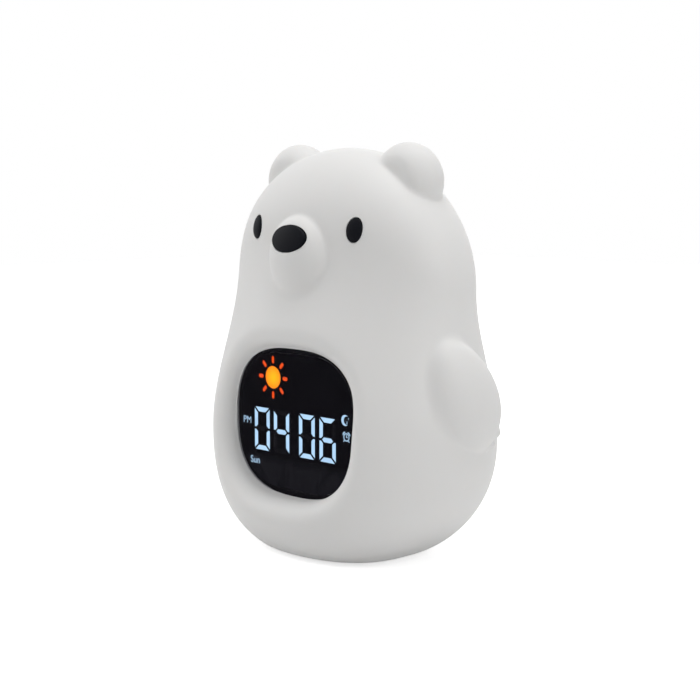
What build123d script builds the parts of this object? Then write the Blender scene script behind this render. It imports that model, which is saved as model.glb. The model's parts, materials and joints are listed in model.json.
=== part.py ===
"""Children's alarm clock with night light: a seated white bear with a display in its belly.

A soft silicone skin is pulled over a two-part case. The case carries the display module, the
night light, the main board with its rear controls, the battery and a speaker over the base.
Millimetres. The origin is the centre of the base on the table, +Z is up and the bear faces -Y.
"""

from build123d import *
from math import copysign, cos, pi, radians, sin
import os

os.makedirs("parts", exist_ok=True)

# ---------------------------------------------------------------- driving dimensions

# Body of the bear: half width, reach to the front and reach to the back at three levels.
BODY_TOP = 142.6
FLOOR_GAP = 0.6
BELLY_Z = 42.0
BELLY_WIDE = 57.0
BELLY_FRONT = 40.9
BELLY_BACK = 41.4
HEAD_Z = 94.0
HEAD_WIDE = 50.5
HEAD_BACK = 31.3
FACE_Z = 112.0
FACE_FRONT = 25.5
PLAN_POWER = 2.2
DOME_POWER = 2.0
UNDER_POWER = 2.2
UNDER_FRONT_POWER = 3.2
UNDER_SINK = 5.0

# Ears, muzzle, arms
EAR_X = 27.0
EAR_Y = 0.9
EAR_Z = 130.9
EAR_WIDE = 13.3
EAR_DEEP = 10.5
EAR_CUP_RADIUS = 24.0
EAR_CUP_DEPTH = 1.4
MUZZLE_Z = 104.7
MUZZLE_WIDE = 14.9
MUZZLE_DEEP = 10.1
MUZZLE_HIGH = 15.9
MUZZLE_STAND = 6.3
ARM_X = 51.5
ARM_Y = 1.6
ARM_Z = 56.8
ARM_THICK = 8.6
ARM_DEEP = 15.0
ARM_LONG = 21.5
ARM_LEAN = 25.0

# Skin and case
SKIN_WALL = 3.0
SKIN_GAP = 0.3
CASE_WALL = 2.0
SPLIT_Y = 0.0

# Eyes and nose
EYE_X = 24.0
EYE_Z = 114.8
EYE_WIDE = 6.1
EYE_HIGH = 8.3
EYE_TURN = 13.7
NOSE_Z = 110.0
NOSE_WIDE = 16.8
NOSE_HIGH = 9.9
NOSE_TILT = 17.0
INLAY_DEPTH = 1.8
INLAY_STAND = 0.5
INLAY_GAP = 0.05

# Display
WINDOW_Z = 47.5
WINDOW_WIDE = 60.2
WINDOW_HIGH = 51.8
WINDOW_POWER = 2.7
WINDOW_FACE_Y = -28.0
WINDOW_THICK = 1.0
WINDOW_EDGE = 0.3
WINDOW_GAP = 0.3
DISH_ROLL = 7.0
DISH_RIM = 10.0
DISH_DEPTH = 13.0
FILM_THICK = 0.2
REFLECTOR_WIDE = 56.4
REFLECTOR_HIGH = 47.6
REFLECTOR_CORNER = 18.0
REFLECTOR_GAP = 0.25
REFLECTOR_DEPTH = 6.8
GUIDE_DEPTH = 2.0
GUIDE_GAP = 0.04
DISPLAY_BOARD_WIDE = 66.0
DISPLAY_BOARD_HIGH = 49.0
BOARD_THICK = 1.6
DISPLAY_POST_X = 29.6
DISPLAY_POST_Z = 19.6

# Digits and icons on the display
DIGIT_Z = 43.4
DIGIT_XS = (-17.6, -7.4, 5.6, 15.9)
DIGITS = "0406"
DIGIT_WIDE = 8.2
DIGIT_HIGH = 15.4
UPRIGHT_WIDE = 1.9
CROSSBAR_HIGH = 1.7
SEGMENT_GAP = 0.4
COLON_X = -0.9
COLON_Z = 41.75
COLON_RADIUS = 0.55
COLON_PITCH = 6.9
SUN_X = -11.7
SUN_Z = 62.4
SUN_RADIUS = 4.0
RAY_START = 4.9
RAY_END = 7.6
RAY_WIDE = 1.4
RAY_COUNT = 8
MOON_X = 24.6
MOON_Z = 51.3
MOON_RADIUS = 2.0
ALARM_X = 25.0
ALARM_Z = 45.6
ALARM_RADIUS = 2.2
LABEL_HIGH = 3.0
HALF_DAY_X = -25.6
HALF_DAY_Z = 45.9
HALF_DAY_WIDE = 4.2
WEEKDAY_X = -21.5
WEEKDAY_Z = 31.8
WEEKDAY_WIDE = 5.4

# Rear control panel; its buttons, switch and socket spread with it
PANEL_Z = 40.0
PANEL_WIDE = 40.0
PANEL_HIGH = 32.0
PANEL_CORNER = 5.0
PANEL_FACE_Y = 36.6
PANEL_THICK = 2.0
PANEL_GAP = 0.2
PANEL_FRAME = 3.0
BUTTON_PITCH_X = 0.275 * PANEL_WIDE
BUTTON_PITCH_Z = 0.28 * PANEL_HIGH
BUTTON_ROW_Z = PANEL_Z + 4.0
BUTTON_WIDE = 8.4
BUTTON_HIGH = 5.6
BUTTON_STAND = 1.4
BUTTON_GAP = 0.15
BUTTON_FLANGE = 0.8
BUTTON_FLANGE_THICK = 1.0
BUTTON_TRAVEL = 0.5
STOP_GAP = 0.05
BUTTON_NAMES = ("light", "sound", "alarm", "minus", "set", "plus")

# Power switch and charging socket, below the buttons
CONTROL_ROW_Z = PANEL_Z - 10.0
SWITCH_X = 0.21 * PANEL_WIDE
SWITCH_TRAVEL = 2.0
SWITCH_KNOB_WIDE = 4.0
SWITCH_KNOB_HIGH = 2.8
SWITCH_KNOB_STAND = 1.0
SWITCH_PLATE_WIDE = 9.4
SWITCH_PLATE_HIGH = 4.6
SWITCH_PLATE_THICK = 0.9
SWITCH_STEM = 1.8
SWITCH_BODY_WIDE = 9.0
SWITCH_BODY_HIGH = 4.4
SWITCH_BODY_DEEP = 3.6
USB_X = -0.21 * PANEL_WIDE
USB_WIDE = 8.94
USB_HIGH = 3.26
USB_WALL = 0.3
USB_TONGUE_WIDE = 6.7
USB_TONGUE_THICK = 0.7
USB_TONGUE_SUNK = 0.6
USB_FLOOR = 1.0

# Main board and what it carries
MAIN_BOARD_Y = 28.0
MAIN_BOARD_WIDE = 44.0
MAIN_BOARD_LOW = 20.5
MAIN_BOARD_HIGH = 47.5
MAIN_BOARD_CORNER = 3.0
MAIN_POST_INSET = 3.5
TACT_SIZE = 6.0
TACT_DEEP = 3.5
PLUNGER_RADIUS = 1.7
PLUNGER_GAP = 0.05
PLUNGER_STAND = 0.9
PLUNGER_SUNK = 0.9
BATTERY_LOW = 26.2
BATTERY_WIDE = 34.0
BATTERY_HIGH = 32.0
BATTERY_THICK = 8.0
BATTERY_CORNER = 1.5
TAPE_SHARE = 0.8
TAPE_THICK = 0.8
CHIP_X = 9.5
CHIP_WIDE = 10.0
CHIP_HIGH = 6.0
CHIP_THICK = 1.6
DRIVER_WIDE = 16.0
SENSOR_RADIUS = 2.0
SENSOR_LONG = 10.0
TOP_ROW_Z = 61.7
LOW_ROW_Z = 22.8
SOCKET_X = 12.0
SOCKET_WIDE = 6.0
SOCKET_HIGH = 4.0
SOCKET_DEEP = 4.6
RIBBON_SOCKET_WIDE = 11.0
RIBBON_SOCKET_DEEP = 3.0
RIBBON_WIDE = 8.0
RIBBON_THICK = 0.6
RIBBON_LOW_Z = 33.0
RIBBON_RADIUS = 6.0

# Night light
SHELF_Z = 86.0
SHELF_WIDE = 36.0
SHELF_THICK = 2.0
LIGHT_Y = 4.0
LIGHT_BOARD_RADIUS = 19.0
LIGHT_SCREW_INSET = 4.0
LIGHT_SCREW_BACK = 3.0
LIGHT_LED_COUNT = 8
LIGHT_LED_RING = 9.5
LED_LONG = 3.5
LED_WIDE = 2.8
LED_THICK = 0.8
DISPLAY_LED = 0.7
DIFFUSER_RADIUS = 16.5
DIFFUSER_WALL = 1.5

# Base and speaker
BASE_Y = -4.0
BASE_RADIUS = 20.0
BASE_GAP = 0.3
BASE_FACE_Z = 1.4
SPEAKER_RADIUS = 13.5
SPEAKER_SEAT_GAP = 0.2
SPEAKER_COLLAR = 0.9
SPEAKER_COLLAR_HIGH = 2.4
SPEAKER_FLANGE = 1.2
SPEAKER_BASKET_TOP = 8.5
BASKET_WALL = 0.6
MAGNET_RADIUS = 7.5
MAGNET_HIGH = 4.0
CONE_RADIUS = 11.4
CONE_EDGE_GAP = 0.5
CONE_LIFT = 0.5
CONE_HIGH = 2.7
CONE_NECK = 4.0
CONE_WALL = 0.4
GRILLE_HOLE = 0.9
GRILLE_RINGS = ((0.0, 1), (3.4, 6), (6.8, 12))
BASE_SCREW_RING = 17.0
FOOT_RING = 15.0
FOOT_RADIUS = 3.5
FOOT_SUNK = 0.6
FOOT_GAP = 0.05

# Screws
SCREW_RADIUS = 1.3
SCREW_HEAD_RADIUS = 2.4
SCREW_HEAD_HIGH = 1.6
SCREW_GAP = 0.05
SCREW_SLOT = 0.6
SCREW_SLOT_LONG = 3.1
SCREW_SLOT_DEPTH = 0.7
BOSS_WALL = 1.6
CASE_SCREW_LONG = 16.0
CASE_SCREW_SEAT = 7.0
BOARD_SCREW_LONG = 5.0
BASE_SCREW_LONG = 9.0
CASE_SCREW_PLACES = ((-40.0, 62.0), (40.0, 62.0), (-38.0, 28.0), (38.0, 28.0), (0.0, 121.0))

# ---------------------------------------------------------------- derived places

CASE_OUT = SKIN_WALL + SKIN_GAP
CASE_IN = CASE_OUT + CASE_WALL
CASE_FLOOR_Z = FLOOR_GAP + CASE_OUT
WINDOW_BACK_Y = WINDOW_FACE_Y + WINDOW_THICK
CASE_DISH_Y = WINDOW_FACE_Y + CASE_OUT
CASE_DISH_BACK_Y = WINDOW_FACE_Y + CASE_IN
FILM_BACK_Y = WINDOW_BACK_Y + FILM_THICK
REFLECTOR_BACK_Y = FILM_BACK_Y + REFLECTOR_DEPTH
DISPLAY_BOARD_BACK_Y = REFLECTOR_BACK_Y + BOARD_THICK
DRIVER_Z = WINDOW_Z + DISPLAY_BOARD_HIGH / 5
PANEL_BACK_Y = PANEL_FACE_Y - PANEL_THICK
MAIN_BOARD_FRONT_Y = MAIN_BOARD_Y - BOARD_THICK
TACT_TOP_Y = MAIN_BOARD_Y + TACT_DEEP
PLUNGER_TOP_Y = TACT_TOP_Y + PLUNGER_STAND
BASE_TOP_Z = CASE_FLOOR_Z
SHELF_TOP_Z = SHELF_Z + SHELF_THICK
LIGHT_BOARD_TOP_Z = SHELF_TOP_Z + BOARD_THICK
BOSS_RADIUS = SCREW_RADIUS + BOSS_WALL
FAR = 2 * BODY_TOP


# ---------------------------------------------------------------- helpers


def save(piece, name):
    """Label a finished piece and write its STEP file."""
    piece.part.label = name
    export_step(piece.part, f"parts/{name}.step")


def facing(y):
    """Upright plane at y: sketch x is +X, sketch y is +Z and extrusions grow towards -Y."""
    return Plane.XZ.offset(-y)


def ease(share):
    """Smooth step from 0 to 1."""
    return share * share * (3 - 2 * share)


def fade(share, power):
    """Superellipse quarter: 1 at share 0, falling to 0 at share 1."""
    return max(0.0, 1 - max(0.0, share) ** power) ** (1 / power)


def climb(z, top_z, top_reach, belly_reach):
    """Reach at height z on the way up from the belly to top_z, then over the dome of the head."""
    share = ease(min(1.0, (z - BELLY_Z) / (top_z - BELLY_Z)))
    dome = fade((z - top_z) / (BODY_TOP - top_z), DOME_POWER)
    return (belly_reach + (top_reach - belly_reach) * share) * dome


def reaches(z, inset=0.0):
    """Half width, front reach and back reach at height z of the bear's body, drawn in by inset."""
    belly_wide, belly_front, belly_back = BELLY_WIDE - inset, BELLY_FRONT - inset, BELLY_BACK - inset
    if z < BELLY_Z:
        share = (BELLY_Z - z) / (BELLY_Z - FLOOR_GAP + UNDER_SINK)
        round_under = fade(share, UNDER_POWER)
        front = belly_front * fade(share, UNDER_FRONT_POWER)
        return belly_wide * round_under, front, belly_back * round_under
    wide = climb(z, HEAD_Z, HEAD_WIDE - inset, belly_wide)
    front = climb(z, FACE_Z, FACE_FRONT - inset, belly_front)
    back = climb(z, HEAD_Z, HEAD_BACK - inset, belly_back)
    return wide, front, back


def front_y(x, z):
    """Y of the body's front surface at x, z."""
    wide, front, back = reaches(z)
    return -front * fade(abs(x) / wide, PLAN_POWER)


def oval(wide, front, back, power, points=24):
    """Closed superellipse outline with its own reach on each side of y = 0."""
    places = []
    for step in range(points):
        turn = 2 * pi * step / points
        side, rise = cos(turn), sin(turn)
        x = wide * copysign(abs(side) ** (2 / power), side)
        y = (back if rise > 0 else front) * copysign(abs(rise) ** (2 / power), rise)
        places.append((x, y))
    with BuildSketch() as outline:
        with BuildLine():
            Spline(*places, periodic=True)
        make_face()
    return outline.sketch


def station_heights():
    """Heights of the body's cross sections: closer together where the form turns in."""
    under_high, trunk_high, head_high = BELLY_Z - FLOOR_GAP, HEAD_Z - BELLY_Z, BODY_TOP - HEAD_Z
    under = [BELLY_Z - under_high * sin(pi / 2 * step / 6) for step in (6, 5, 4, 3, 2, 1)]
    trunk = [BELLY_Z + trunk_high * step / 4 for step in range(4)]
    head = [HEAD_Z + head_high * sin(pi / 2 * step / 7.5) for step in range(8)]
    return under + trunk + head


def body_form(inset):
    """The bear's body and head as one smooth solid, drawn in by inset on every side."""
    squeeze = (BODY_TOP - FLOOR_GAP - 2 * inset) / (BODY_TOP - FLOOR_GAP)
    with BuildPart() as form:
        for z in station_heights():
            wide, front, back = reaches(z, inset)
            with BuildSketch(Plane.XY.offset(FLOOR_GAP + inset + (z - FLOOR_GAP) * squeeze)):
                add(oval(wide, front, back, PLAN_POWER))
        loft()
    return form.part


def window_outline(grow):
    """Outline of the display window, grown on every side."""
    wide = WINDOW_WIDE / 2 + grow
    high = WINDOW_HIGH / 2 + grow
    return Pos(0, WINDOW_Z) * oval(wide, high, high, WINDOW_POWER)


def reflector_outline(grow):
    """Rounded outline of the reflector block behind the window, grown on every side."""
    with BuildSketch() as outline:
        with Locations((0, WINDOW_Z)):
            RectangleRounded(REFLECTOR_WIDE + 2 * grow, REFLECTOR_HIGH + 2 * grow, REFLECTOR_CORNER + grow)
    return outline.sketch


def dish_form(grow):
    """Bowl behind the skin around the display window, from the window's plane out through the belly."""
    with BuildPart() as bowl:
        for lift in (0.0, 0.02, 0.1, 0.3, 0.6, 1.0, 1.6):
            spread = DISH_RIM * (1 - max(0.0, 1 - lift) ** 2) ** 0.5
            with BuildSketch(facing(WINDOW_FACE_Y + grow - lift * DISH_DEPTH)):
                add(window_outline(WINDOW_GAP + spread + grow))
        loft()
    return bowl.part


def egg_form(wide, deep, high):
    """Ellipsoid with the given half sizes along X, Y and Z."""
    with BuildPart() as egg:
        Sphere(1)
        scale(by=(wide, deep, high))
    return egg.part


def screw_form(length):
    """Pan-head screw along +Z: the head sits above z = 0 and the shank hangs below it."""
    with BuildPart() as screw:
        Cylinder(SCREW_HEAD_RADIUS, SCREW_HEAD_HIGH, align=(Align.CENTER, Align.CENTER, Align.MIN))
        fillet(screw.edges().filter_by(GeomType.CIRCLE).sort_by(Axis.Z)[-1], SCREW_HEAD_HIGH / 3)
        with BuildSketch():
            Circle(SCREW_RADIUS)
        extrude(amount=-length)
        with BuildSketch(Plane.XY.offset(SCREW_HEAD_HIGH)):
            Rectangle(SCREW_SLOT_LONG, SCREW_SLOT)
            Rectangle(SCREW_SLOT, SCREW_SLOT_LONG)
        extrude(amount=-SCREW_SLOT_DEPTH, mode=Mode.SUBTRACT)
    return screw.part


def case_half(rear):
    """Half space on one side of the case's split plane."""
    with BuildPart() as half:
        with BuildSketch(facing(SPLIT_Y)):
            Rectangle(FAR, 2 * FAR)
        extrude(amount=-FAR if rear else FAR)
    return half.part


def post(x, y_from, y_to, z, radius):
    """Round post along Y."""
    with BuildPart() as pin:
        with BuildSketch(facing(y_to)):
            with Locations((x, z)):
                Circle(radius)
        extrude(amount=y_to - y_from)
    return pin.part


def upright_post(x, y, z_from, z_to, radius):
    """Round post along Z."""
    with BuildPart() as pin:
        with BuildSketch(Plane.XY.offset(z_from)):
            with Locations((x, y)):
                Circle(radius)
        extrude(amount=z_to - z_from)
    return pin.part


def slab(wide, high, corner, y_front, y_back, x=0.0, z=0.0):
    """Rounded rectangular slab standing between two depths."""
    with BuildPart() as plate:
        with BuildSketch(facing(y_back)):
            with Locations((x, z)):
                RectangleRounded(wide, high, corner)
        extrude(amount=y_back - y_front)
    return plate.part


def button_places():
    """Name and centre of each rear button, row by row from the top left as seen from behind."""
    places = []
    for count, name in enumerate(BUTTON_NAMES):
        row, column = divmod(count, 3)
        places.append((name, (1 - column) * BUTTON_PITCH_X, BUTTON_ROW_Z + (0.5 - row) * BUTTON_PITCH_Z))
    return places


def base_ring(radius, turn, count=4):
    """Points on a ring about the base's centre."""
    places = []
    for step in range(count):
        angle = radians(turn + 360 * step / count)
        places.append((radius * cos(angle), BASE_Y + radius * sin(angle)))
    return places


# ---------------------------------------------------------------- forms shared by the pieces

outer_body = body_form(0)
skin_inside = body_form(SKIN_WALL)
case_outside = body_form(CASE_OUT)
case_inside = body_form(CASE_IN)
case_outside_dished = case_outside - dish_form(CASE_OUT)
case_inside_dished = case_inside - dish_form(CASE_IN)
case_middle = body_form(CASE_OUT + CASE_WALL / 2)
case_middle_dished = case_middle - dish_form(CASE_OUT + CASE_WALL / 2)

# ---------------------------------------------------------------- soft skin

with BuildPart() as ear:
    with BuildSketch() as half_ear:
        Ellipse(EAR_WIDE, EAR_DEEP)
        Rectangle(FAR, FAR, align=(Align.MIN, Align.CENTER), mode=Mode.INTERSECT)
    revolve(axis=Axis.Y)
    with Locations((0, EAR_CUP_DEPTH - EAR_DEEP - EAR_CUP_RADIUS, 0)):
        Sphere(EAR_CUP_RADIUS, mode=Mode.SUBTRACT)

muzzle_y = front_y(0, MUZZLE_Z) - MUZZLE_STAND + MUZZLE_DEEP


def muzzle_form(grow):
    """The muzzle's egg, grown on every side."""
    return Pos(0, muzzle_y, MUZZLE_Z) * egg_form(MUZZLE_WIDE + grow, MUZZLE_DEEP + grow, MUZZLE_HIGH + grow)


def face_plane(x, z, turn, tilt):
    """Plane on the face looking outward, turned about Z and tilted up."""
    return Plane(Location((x, front_y(x, z), z), (90 - tilt, 0, turn)))


def plug_form(plane, wide, high):
    """Straight elliptical plug through the face along the plane's normal."""
    with BuildPart() as plug:
        with BuildSketch(plane.offset(-MUZZLE_STAND)):
            Ellipse(wide / 2, high / 2)
        extrude(amount=3 * MUZZLE_STAND)
    return plug.part


arm_form = Location((ARM_X, ARM_Y, ARM_Z), (ARM_LEAN, 0, 0)) * egg_form(ARM_THICK, ARM_DEEP, ARM_LONG)
eye_places = {"eye_left": EYE_X, "eye_right": -EYE_X}
eye_planes = {name: face_plane(x, EYE_Z, copysign(EYE_TURN, x), 0) for name, x in eye_places.items()}
nose_plane = face_plane(0, NOSE_Z, 0, NOSE_TILT)
eye_bed = body_form(INLAY_DEPTH)
nose_bed = muzzle_form(-INLAY_DEPTH)
pocket_growth = 2 * INLAY_GAP

with BuildPart() as silicone_skin:
    add(outer_body)
    with BuildSketch(facing(WINDOW_FACE_Y)):
        add(window_outline(WINDOW_GAP))
    extrude(amount=FAR, mode=Mode.SUBTRACT)
    fillet(silicone_skin.edges(Select.LAST).sort_by(SortBy.LENGTH)[-1], DISH_ROLL)
    with Locations((-EAR_X, EAR_Y, EAR_Z), (EAR_X, EAR_Y, EAR_Z)):
        add(ear.part)
    add(muzzle_form(0))
    add(arm_form)
    add(mirror(arm_form, about=Plane.YZ))
    add(skin_inside - dish_form(SKIN_WALL), mode=Mode.SUBTRACT)
    for plane in eye_planes.values():
        eye_plug = plug_form(plane, EYE_WIDE + pocket_growth, EYE_HIGH + pocket_growth)
        add(eye_plug - eye_bed, mode=Mode.SUBTRACT)
    nose_plug = plug_form(nose_plane, NOSE_WIDE + pocket_growth, NOSE_HIGH + pocket_growth)
    add(nose_plug - nose_bed, mode=Mode.SUBTRACT)
    with BuildSketch(facing(CASE_DISH_Y)):
        add(window_outline(WINDOW_GAP))
    extrude(amount=DISH_DEPTH, mode=Mode.SUBTRACT)
    with BuildSketch(facing(PANEL_BACK_Y)):
        with Locations((0, PANEL_Z)):
            RectangleRounded(PANEL_WIDE + 2 * PANEL_GAP, PANEL_HIGH + 2 * PANEL_GAP, PANEL_CORNER)
    extrude(amount=-FAR, mode=Mode.SUBTRACT)
    with BuildSketch():
        with Locations((0, BASE_Y)):
            Circle(BASE_RADIUS + BASE_GAP)
    extrude(amount=CASE_FLOOR_Z, mode=Mode.SUBTRACT)
save(silicone_skin, "silicone_skin")

# ---------------------------------------------------------------- eyes and nose

for name, plane in eye_planes.items():
    with BuildPart() as eye:
        add(plug_form(plane, EYE_WIDE, EYE_HIGH))
        add(body_form(-INLAY_STAND), mode=Mode.INTERSECT)
        add(eye_bed, mode=Mode.SUBTRACT)
    save(eye, name)

with BuildPart() as nose:
    add(plug_form(nose_plane, NOSE_WIDE, NOSE_HIGH))
    add(muzzle_form(INLAY_STAND), mode=Mode.INTERSECT)
    add(nose_bed, mode=Mode.SUBTRACT)
save(nose, "nose")

# ---------------------------------------------------------------- display window and its gasket

with BuildPart() as display_window:
    with BuildSketch(facing(WINDOW_BACK_Y)):
        add(window_outline(0))
    extrude(amount=WINDOW_THICK)
    fillet(display_window.edges().group_by(Axis.Y)[0], WINDOW_EDGE)
save(display_window, "display_window")

with BuildPart() as window_gasket:
    with BuildSketch(facing(CASE_DISH_Y)):
        add(window_outline(0))
        add(reflector_outline(REFLECTOR_GAP), mode=Mode.SUBTRACT)
    extrude(amount=CASE_DISH_Y - WINDOW_BACK_Y)
save(window_gasket, "window_gasket")

# ---------------------------------------------------------------- digits, icons and their openings

half_wide = DIGIT_WIDE / 2
half_high = DIGIT_HIGH / 2
inner_wide = half_wide - UPRIGHT_WIDE
inner_high = half_high - CROSSBAR_HIGH
mid_wide = half_wide - UPRIGHT_WIDE / 2
mid_high = CROSSBAR_HIGH / 2
crossbar = (
    (-half_wide + SEGMENT_GAP, half_high),
    (half_wide - SEGMENT_GAP, half_high),
    (inner_wide - SEGMENT_GAP, inner_high),
    (-inner_wide + SEGMENT_GAP, inner_high),
)
upright = (
    (half_wide, half_high - SEGMENT_GAP),
    (inner_wide, inner_high - SEGMENT_GAP),
    (inner_wide, mid_high + SEGMENT_GAP),
    (mid_wide, SEGMENT_GAP),
    (half_wide, SEGMENT_GAP),
)
middle = (
    (-mid_wide + SEGMENT_GAP, 0),
    (-inner_wide + SEGMENT_GAP, mid_high),
    (inner_wide - SEGMENT_GAP, mid_high),
    (mid_wide - SEGMENT_GAP, 0),
    (inner_wide - SEGMENT_GAP, -mid_high),
    (-inner_wide + SEGMENT_GAP, -mid_high),
)
segment_outlines = {
    "a": (crossbar, 1, 1),
    "b": (upright, 1, 1),
    "c": (upright, 1, -1),
    "d": (crossbar, 1, -1),
    "e": (upright, -1, -1),
    "f": (upright, -1, 1),
    "g": (middle, 1, 1),
}
segments_lit = {"0": "abcdef", "4": "bcfg", "6": "acdefg"}


def segment_faces(lit):
    """Faces of the lit segments, or of the dark ones, in the display's upright plane."""
    faces = []
    for digit, digit_x in zip(DIGITS, DIGIT_XS):
        for segment, (outline, flip_x, flip_z) in segment_outlines.items():
            if (segment in segments_lit[digit]) != lit:
                continue
            corners = [(digit_x + flip_x * x, DIGIT_Z + flip_z * z) for x, z in outline]
            with BuildSketch() as face:
                Polygon(*corners, align=None)
            faces.append(face.sketch)
    return faces


def sun_faces(rays):
    """Disc of the sun icon, or its ring of rays."""
    with BuildSketch() as icon:
        with Locations((SUN_X, SUN_Z)):
            if rays:
                with PolarLocations((RAY_START + RAY_END) / 2, RAY_COUNT):
                    SlotOverall(RAY_END - RAY_START, RAY_WIDE)
            else:
                Circle(SUN_RADIUS)
    return [icon.sketch]


def small_faces():
    """Colon dots, moon, alarm ring and the two label windows."""
    with BuildSketch() as marks:
        with Locations((COLON_X, COLON_Z - COLON_PITCH / 2), (COLON_X, COLON_Z + COLON_PITCH / 2)):
            Circle(COLON_RADIUS)
        with Locations((MOON_X, MOON_Z)):
            Circle(MOON_RADIUS)
        with Locations((ALARM_X, ALARM_Z)):
            Circle(ALARM_RADIUS)
        with Locations((HALF_DAY_X, HALF_DAY_Z)):
            Rectangle(HALF_DAY_WIDE, LABEL_HIGH)
        with Locations((WEEKDAY_X, WEEKDAY_Z)):
            Rectangle(WEEKDAY_WIDE, LABEL_HIGH)
    return [marks.sketch]


light_groups = {
    "segment_guides_lit": segment_faces(True),
    "segment_guides_dark": segment_faces(False),
    "sun_disc_guide": sun_faces(False),
    "sun_ray_guides": sun_faces(True),
    "icon_guides": small_faces(),
}


def light_openings(y_back, depth, grow):
    """All display openings as one cutting solid, grown by a clearance."""
    with BuildPart() as openings:
        with BuildSketch(facing(y_back)):
            for faces in light_groups.values():
                for face in faces:
                    if grow:
                        offset(face, grow, kind=Kind.INTERSECTION, mode=Mode.ADD)
                    else:
                        add(face)
        extrude(amount=depth)
    return openings.part


for name, faces in light_groups.items():
    with BuildPart() as guides:
        with BuildSketch(facing(FILM_BACK_Y + GUIDE_DEPTH)):
            for face in faces:
                add(face)
        extrude(amount=GUIDE_DEPTH)
    save(guides, name)

with BuildPart() as segment_film:
    with BuildSketch(facing(FILM_BACK_Y)):
        add(reflector_outline(0))
    extrude(amount=FILM_THICK)
    add(light_openings(FILM_BACK_Y, FILM_THICK, 0), mode=Mode.SUBTRACT)
save(segment_film, "segment_film")

with BuildPart() as reflector_block:
    with BuildSketch(facing(REFLECTOR_BACK_Y)):
        add(reflector_outline(0))
    extrude(amount=REFLECTOR_DEPTH)
    add(light_openings(REFLECTOR_BACK_Y, REFLECTOR_DEPTH, GUIDE_GAP), mode=Mode.SUBTRACT)
save(reflector_block, "reflector_block")

# ---------------------------------------------------------------- screw places

display_posts = [
    (x, WINDOW_Z + z) for x in (-DISPLAY_POST_X, DISPLAY_POST_X) for z in (-DISPLAY_POST_Z, DISPLAY_POST_Z)
]
main_posts = [
    (side * (MAIN_BOARD_WIDE / 2 - MAIN_POST_INSET), z)
    for side in (-1, 1)
    for z in (MAIN_BOARD_LOW + MAIN_POST_INSET, MAIN_BOARD_LOW + MAIN_BOARD_HIGH - MAIN_POST_INSET)
]
base_screws_at = base_ring(BASE_SCREW_RING, 45)
light_screw_x = LIGHT_BOARD_RADIUS - LIGHT_SCREW_INSET
light_screws_at = [(x, LIGHT_Y + LIGHT_SCREW_BACK) for x in (-light_screw_x, light_screw_x)]
speaker_opening = SPEAKER_RADIUS + 2 * SPEAKER_SEAT_GAP + SPEAKER_COLLAR
hole_radius = SCREW_RADIUS + SCREW_GAP
head_hole_radius = SCREW_HEAD_RADIUS + SCREW_GAP
case_boss_radius = SCREW_HEAD_RADIUS + BOSS_WALL
base_screw_seat_z = BASE_FACE_Z + SCREW_HEAD_HIGH
base_hole_top_z = base_screw_seat_z + BASE_SCREW_LONG + SCREW_GAP
base_boss_top_z = base_screw_seat_z + BASE_SCREW_LONG + CASE_WALL


def panel_slab(grow, corner, y_front, y_back):
    """Slab with the rear panel's outline, grown on every side."""
    return slab(PANEL_WIDE + 2 * grow, PANEL_HIGH + 2 * grow, corner, y_front, y_back, z=PANEL_Z)


# ---------------------------------------------------------------- front shell of the case

with BuildPart() as front_fittings:
    for x, z in CASE_SCREW_PLACES:
        add(post(x, -BELLY_FRONT, SPLIT_Y, z, case_boss_radius))
    for x, y in base_screws_at:
        if y < SPLIT_Y:
            add(upright_post(x, y, CASE_FLOOR_Z, base_boss_top_z, BOSS_RADIUS))
    add(case_middle_dished, mode=Mode.INTERSECT)

with BuildPart() as front_holes:
    add(upright_post(0, BASE_Y, CASE_FLOOR_Z, base_boss_top_z, speaker_opening))
    for x, y in base_screws_at:
        add(upright_post(x, y, CASE_FLOOR_Z, base_hole_top_z, hole_radius))
    for x, z in CASE_SCREW_PLACES:
        add(post(x, CASE_SCREW_SEAT - CASE_SCREW_LONG - SCREW_GAP, SPLIT_Y, z, hole_radius))
    for x, z in display_posts:
        add(post(x, DISPLAY_BOARD_BACK_Y - BOARD_SCREW_LONG - SCREW_GAP, REFLECTOR_BACK_Y, z, hole_radius))
    with BuildSketch(facing(CASE_DISH_BACK_Y)):
        add(reflector_outline(REFLECTOR_GAP))
    extrude(amount=CASE_WALL)

with BuildPart() as front_shell:
    add(case_outside_dished)
    add(case_half(rear=False), mode=Mode.INTERSECT)
    add(case_inside_dished, mode=Mode.SUBTRACT)
    add(front_fittings.part)
    for x, z in display_posts:
        add(post(x, CASE_DISH_BACK_Y, REFLECTOR_BACK_Y, z, BOSS_RADIUS))
    add(front_holes.part, mode=Mode.SUBTRACT)
save(front_shell, "front_shell")

# ---------------------------------------------------------------- rear shell of the case

with BuildPart() as rear_fittings:
    for x, z in CASE_SCREW_PLACES:
        add(post(x, SPLIT_Y, BELLY_BACK, z, case_boss_radius))
    for x, z in main_posts:
        add(post(x, MAIN_BOARD_Y, BELLY_BACK, z, BOSS_RADIUS))
    for x, y in base_screws_at:
        if y > SPLIT_Y:
            add(upright_post(x, y, CASE_FLOOR_Z, base_boss_top_z, BOSS_RADIUS))
    add(panel_slab(PANEL_FRAME, PANEL_CORNER, PANEL_BACK_Y - CASE_WALL, PANEL_BACK_Y))
    with BuildSketch(Plane.XY.offset(SHELF_Z)):
        with Locations((0, SPLIT_Y)):
            Rectangle(SHELF_WIDE, BELLY_BACK, align=(Align.CENTER, Align.MIN))
    extrude(amount=SHELF_THICK)
    add(case_middle, mode=Mode.INTERSECT)

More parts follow.
